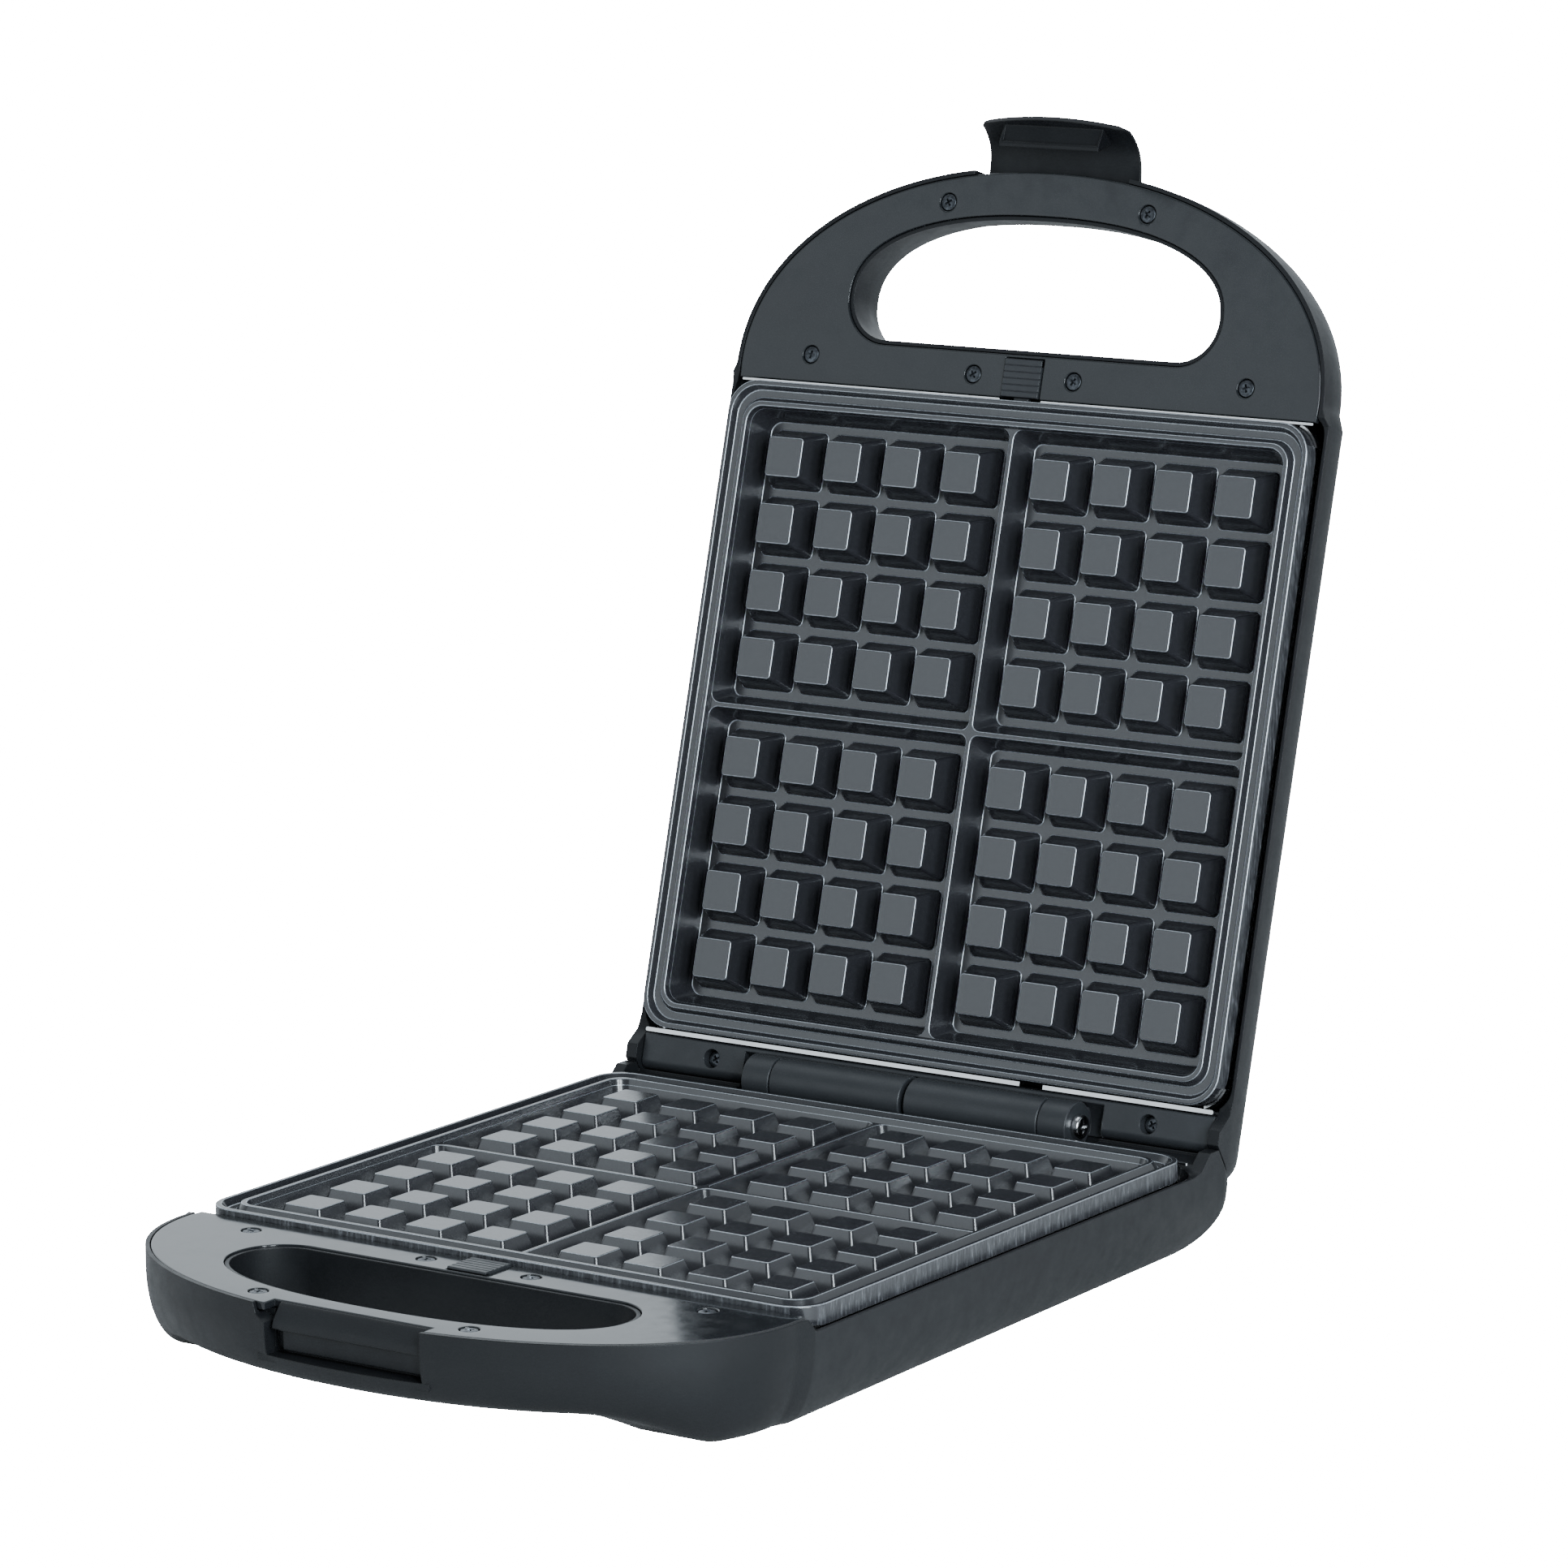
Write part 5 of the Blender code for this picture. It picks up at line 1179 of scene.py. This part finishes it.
def latch_clip():
    """Curved clip on a pin in the lid's handle, with a hook inside its crowned tip."""
    bm = bmesh.new()
    across_steps, along_steps = 24, 16
    rings = []
    for step in range(across_steps + 1):
        side = -1 + 2 * step / across_steps
        squeeze = 0.4 if abs(side) > 0.999 else 1.0
        loop = []
        for face in (0, 1):
            for number in range(along_steps + 1):
                share = (number if face == 0 else along_steps - number) / along_steps
                crown = 1 + 0.040 * (1 - 3.2 * side * side) * share**3
                corner = max(0.0, share - 0.90) / 0.10
                half_x = LATCH_HALF_X + 0.0015 - 0.0010 * share - 0.0014 * corner**3
                thickness = LATCH_SHEET * squeeze * (1 - 0.25 * share)
                point = sheet_faces(min(share * crown, 1.06), thickness)[face]
                loop.append((side * half_x, point.x, point.y + LATCH_CURL * share**4))
        rings.append(loop)
    add_loft(bm, rings)
    clip = new_object("latch_clip_shell", bm)
    union(clip, turned("knuckle", (-0.0289, 0, 0), [(0, 0.0030), (0.0578, 0.0030)], (1, 0, 0), 40))
    under, outer = sheet_faces(0.64, LATCH_SHEET)[0], sheet_faces(1.0, LATCH_SHEET * 0.75)[0]
    edge = Vector((-0.0115, 0.0142))
    shell = [under, outer + Vector((0.0004, 0.0002)), edge + Vector((-0.0012, 0.0004)), edge]
    hook = side_prism("hook", [tuple(point) for point in shell], -0.0205, 0.0205)
    outward = Vector((-0.24, 0.97)).normalized()
    near, far = Vector((-0.0137, 0.0149)), Vector((-0.0208, 0.0129))
    dish = [near + outward * 0.001, near - outward * 0.0016, (near + far) / 2 - outward * 0.0010]
    dish += [far - outward * 0.0001, far + outward * 0.001]
    cut(hook, side_prism("dish", [tuple(point) for point in dish], -0.0198, 0.0198))
    union(clip, hook)
    cut(clip, turned("bore", (-0.05, 0, 0), [(0, 0.0016), (0.1, 0.0016)], (1, 0, 0), 24))
    clip.data.transform(Matrix.Translation((0, LATCH_Y, LATCH_Z)))
    finish_piece(clip, LATCH_PLASTIC, LID, "latch", "latch_clip", slot="cover_plastic", smooth=30)


# --- Small pieces ---


def feet():
    """Round rubber pads, each with a ring moulded in its underside and a stem up into the casing."""
    for number in range(1, 5):
        node = f"foot_{number}"
        low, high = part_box(node)
        middle, radius = (low + high) / 2, (high.x - low.x) / 2
        height, top, stem = high.z - low.z, 0.0037, 0.0025
        points = [(0, 0.0001), (0, 0.0035), (0.0006, 0.0040), (0, 0.0046), (0, radius - 0.0008)]
        points += [(top, radius), (top, stem), (height, stem), (height, 0.0001)]
        profile = rounded(points, [0, 0, 0, 0.0008, 0.0004, 0, 0.0006], 4)
        pad = turned(f"rubber_pad_{number}", (middle.x, middle.y, low.z), profile, (0, 0, 1))
        finish_piece(pad, RUBBER, None, "base", node, slot="rubber")


def cord_gland():
    """Ribbed sleeve that the supply cord comes in by."""
    low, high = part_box("cord_gland")
    centre = (low + high) / 2
    length, radius = high.y - low.y, (high.x - low.x) / 2
    points = [(0, 0.0036), (0, radius - 0.0004), (length * 0.45, radius - 0.0004)]
    for groove in range(3):
        start = length * (0.52 + 0.14 * groove)
        points += [(start, radius), (start + length * 0.08, radius)]
        points.append((start + length * 0.10, radius - 0.0010))
    points += [(length * 0.96, radius - 0.0010), (length, radius - 0.0016), (length, 0.0036)]
    gland = turned("ribbed_gland", (centre.x, low.y, centre.z), points, (0, 1, 0), hollow=True)
    finish_piece(gland, RUBBER, None, "base", "cord_gland", slot="rubber")


def lens(node, material, slot):
    """Domed light pipe through the lid's outer face."""
    low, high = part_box(node)
    outward = PLACE["lid"].to_3x3() @ Vector((0, 0, -1))
    start = (low + high) / 2 - outward * (LENS_LENGTH / 2)
    profile = [(0, 0.0001), (0, LENS_R), (LENS_LENGTH, LENS_R), (LENS_LENGTH, 0.0001)]
    dome = turned(node + "_dome", start, rounded(profile, [0.0003, 0.0014], 6), outward, 40)
    finish_piece(dome, material, None, "lid", node, slot=slot)


def carried_over():
    """Materials for the CAD nodes that stay, all but hidden inside."""
    kinds = {
        "base_heating_element": ELEMENT_STEEL, "lid_heating_element": ELEMENT_STEEL,
        "base_thermostat": CERAMIC, "lid_thermal_fuse": CERAMIC, "terminal_block": CERAMIC,
        "base_release_spring": SCREW_STEEL, "lid_release_spring": SCREW_STEEL, "latch_pin": CHROME,
    }
    for node, material in kinds.items():
        mesh = frame["nodes"][node].data
        mesh.materials.clear()
        mesh.materials.append(material)


# --- Stage ---
VIEW = Vector((-0.54349, 0.81907, -0.18371))
EYE = Vector((1.18770, -1.74060, 0.53040))  # from the base plate's centre
LENS, FILM_WIDTH = 148.10, 36.0
FLOOR_GLOW, WORLD_SEEN = 40.0, 60.0  # the backdrop's brightness, seen by the camera alone
WORLD_DIM, WORLD_BRIGHT, BRIGHT_SIDE = 0.22, 1.65, Vector((-0.60, 0.78, 0.20))
SOFTBOX_REACH = 1.6
COOL_WHITE = (0.84, 0.93, 1.0)


def area_light(name, position, target, size, power):
    light = bpy.data.lights.new(name, "AREA")
    light.shape = "RECTANGLE"
    light.size, light.size_y = size
    light.energy = power
    light.color = COOL_WHITE
    made = bpy.data.objects.new(name, light)
    made.location = position
    made.rotation_euler = (Vector(target) - Vector(position)).to_track_quat("-Z", "Y").to_euler()
    bpy.context.scene.collection.objects.link(made)


def photographer(origin):
    camera = bpy.data.cameras.new("camera")
    camera.lens, camera.sensor_width, camera.clip_end = LENS, FILM_WIDTH, 20
    eye = bpy.data.objects.new("camera", camera)
    eye.location = origin + EYE
    eye.rotation_euler = VIEW.to_track_quat("-Z", "Y").to_euler()
    bpy.context.scene.collection.objects.link(eye)
    bpy.context.scene.camera = eye


def seen_by_camera(tree, others, camera):
    """A mix that shows the camera one shader and all other rays another."""
    path = tree.nodes.new("ShaderNodeLightPath")
    mix = tree.nodes.new("ShaderNodeMixShader")
    tree.links.new(path.outputs["Is Camera Ray"], mix.inputs["Fac"])
    tree.links.new(others, mix.inputs[1])
    tree.links.new(camera, mix.inputs[2])
    return mix.outputs[0]


def pale_floor():
    """A plain pale floor that looks white to the camera, like the backdrop."""
    bm = bmesh.new()
    size, thick = 6.0, 0.02
    corners = [(-size, -size), (size, -size), (size, size), (-size, size)]
    add_loft(bm, [level(corners, -thick), level(corners, -0.00002)])
    floor = new_object("floor", bm)
    pale = Shader("pale_floor", (0.80, 0.80, 0.80), 0.65)
    pale.colour(pale.noise(3, 3), (0.3, (0.79, 0.79, 0.79)), (0.7, (0.82, 0.82, 0.82)))
    glow = pale.add("ShaderNodeEmission", {"Strength": FLOOR_GLOW})
    black = pale.add("ShaderNodeEmission", {"Strength": 0.0})
    total = pale.add("ShaderNodeAddShader")
    pale.link(pale.out.outputs["BSDF"], total.inputs[0])
    pale.link(seen_by_camera(pale.tree, black.outputs[0], glow.outputs[0]), total.inputs[1])
    pale.link(total.outputs[0], pale.tree.nodes["Material Output"].inputs["Surface"])
    floor.data.materials.append(pale.material)


def room_light():
    """A dim room, brighter behind the appliance, before a white backdrop."""
    world = bpy.data.worlds.new("studio")
    bpy.context.scene.world = world
    world.use_nodes = True
    tree = world.node_tree
    nodes, links = tree.nodes, tree.links
    coords = nodes.new("ShaderNodeTexCoord")
    towards = nodes.new("ShaderNodeVectorMath")
    towards.operation = "DOT_PRODUCT"
    towards.inputs[1].default_value = BRIGHT_SIDE.normalized()
    links.new(coords.outputs["Generated"], towards.inputs[0])
    limits = {"From Min": 0.10, "From Max": 0.85, "To Min": WORLD_DIM, "To Max": WORLD_BRIGHT}
    strength = set_inputs(nodes.new("ShaderNodeMapRange"), limits)
    links.new(towards.outputs["Value"], strength.inputs["Value"])
    room = set_inputs(nodes["Background"], {"Color": (0.86, 0.94, 1.0, 1)})
    links.new(strength.outputs["Result"], room.inputs["Strength"])
    backdrop = set_inputs(nodes.new("ShaderNodeBackground"), {"Strength": WORLD_SEEN})
    surface = nodes["World Output"].inputs["Surface"]
    links.new(seen_by_camera(tree, room.outputs[0], backdrop.outputs[0]), surface)


def softboxes(centre):
    """Two narrow lights to the right, a broad one to the left and one overhead."""
    for name, towards, size, power in (
        ("right_softbox", (0.88, -0.36, 0.32), (0.22, 1.0), 19),
        ("side_softbox", (0.70, -0.62, 0.32), (0.22, 1.0), 19),
        ("front_softbox", (-0.54, -0.80, 0.26), (0.95, 0.95), 3.4),
    ):
        area_light(name, centre + Vector(towards) * SOFTBOX_REACH, centre, size, power)
    area_light("top_softbox", centre + Vector((-0.2, 0.1, 1.5)), centre, (1.2, 1.2), 4)


def studio():
    origin = PLACE["base"].translation
    photographer(origin)
    pale_floor()
    room_light()
    softboxes(origin + Vector((0, 0, 0.10)))


# --- Assembly ---
for one_half, one_body in ((BASE, "base"), (LID, "lid")):
    waffle_plate(one_half, one_body)
    handle_cover(one_half, one_body)
    handle_screws(one_half, one_body)
    release_slide(one_half)
    reflector_tray(one_half, one_body)
base_casing()
lid_casing()
for one_side, one_word in SIDES:
    hinge_barrel(one_side, one_word)
    hinge_pin(one_side, one_word)
hinge_cover()
latch_clip()
feet()
cord_gland()
lens("power_lens", RED_LENS, "red_lens")
lens("ready_lens", GREEN_LENS, "green_lens")
carried_over()
studio()
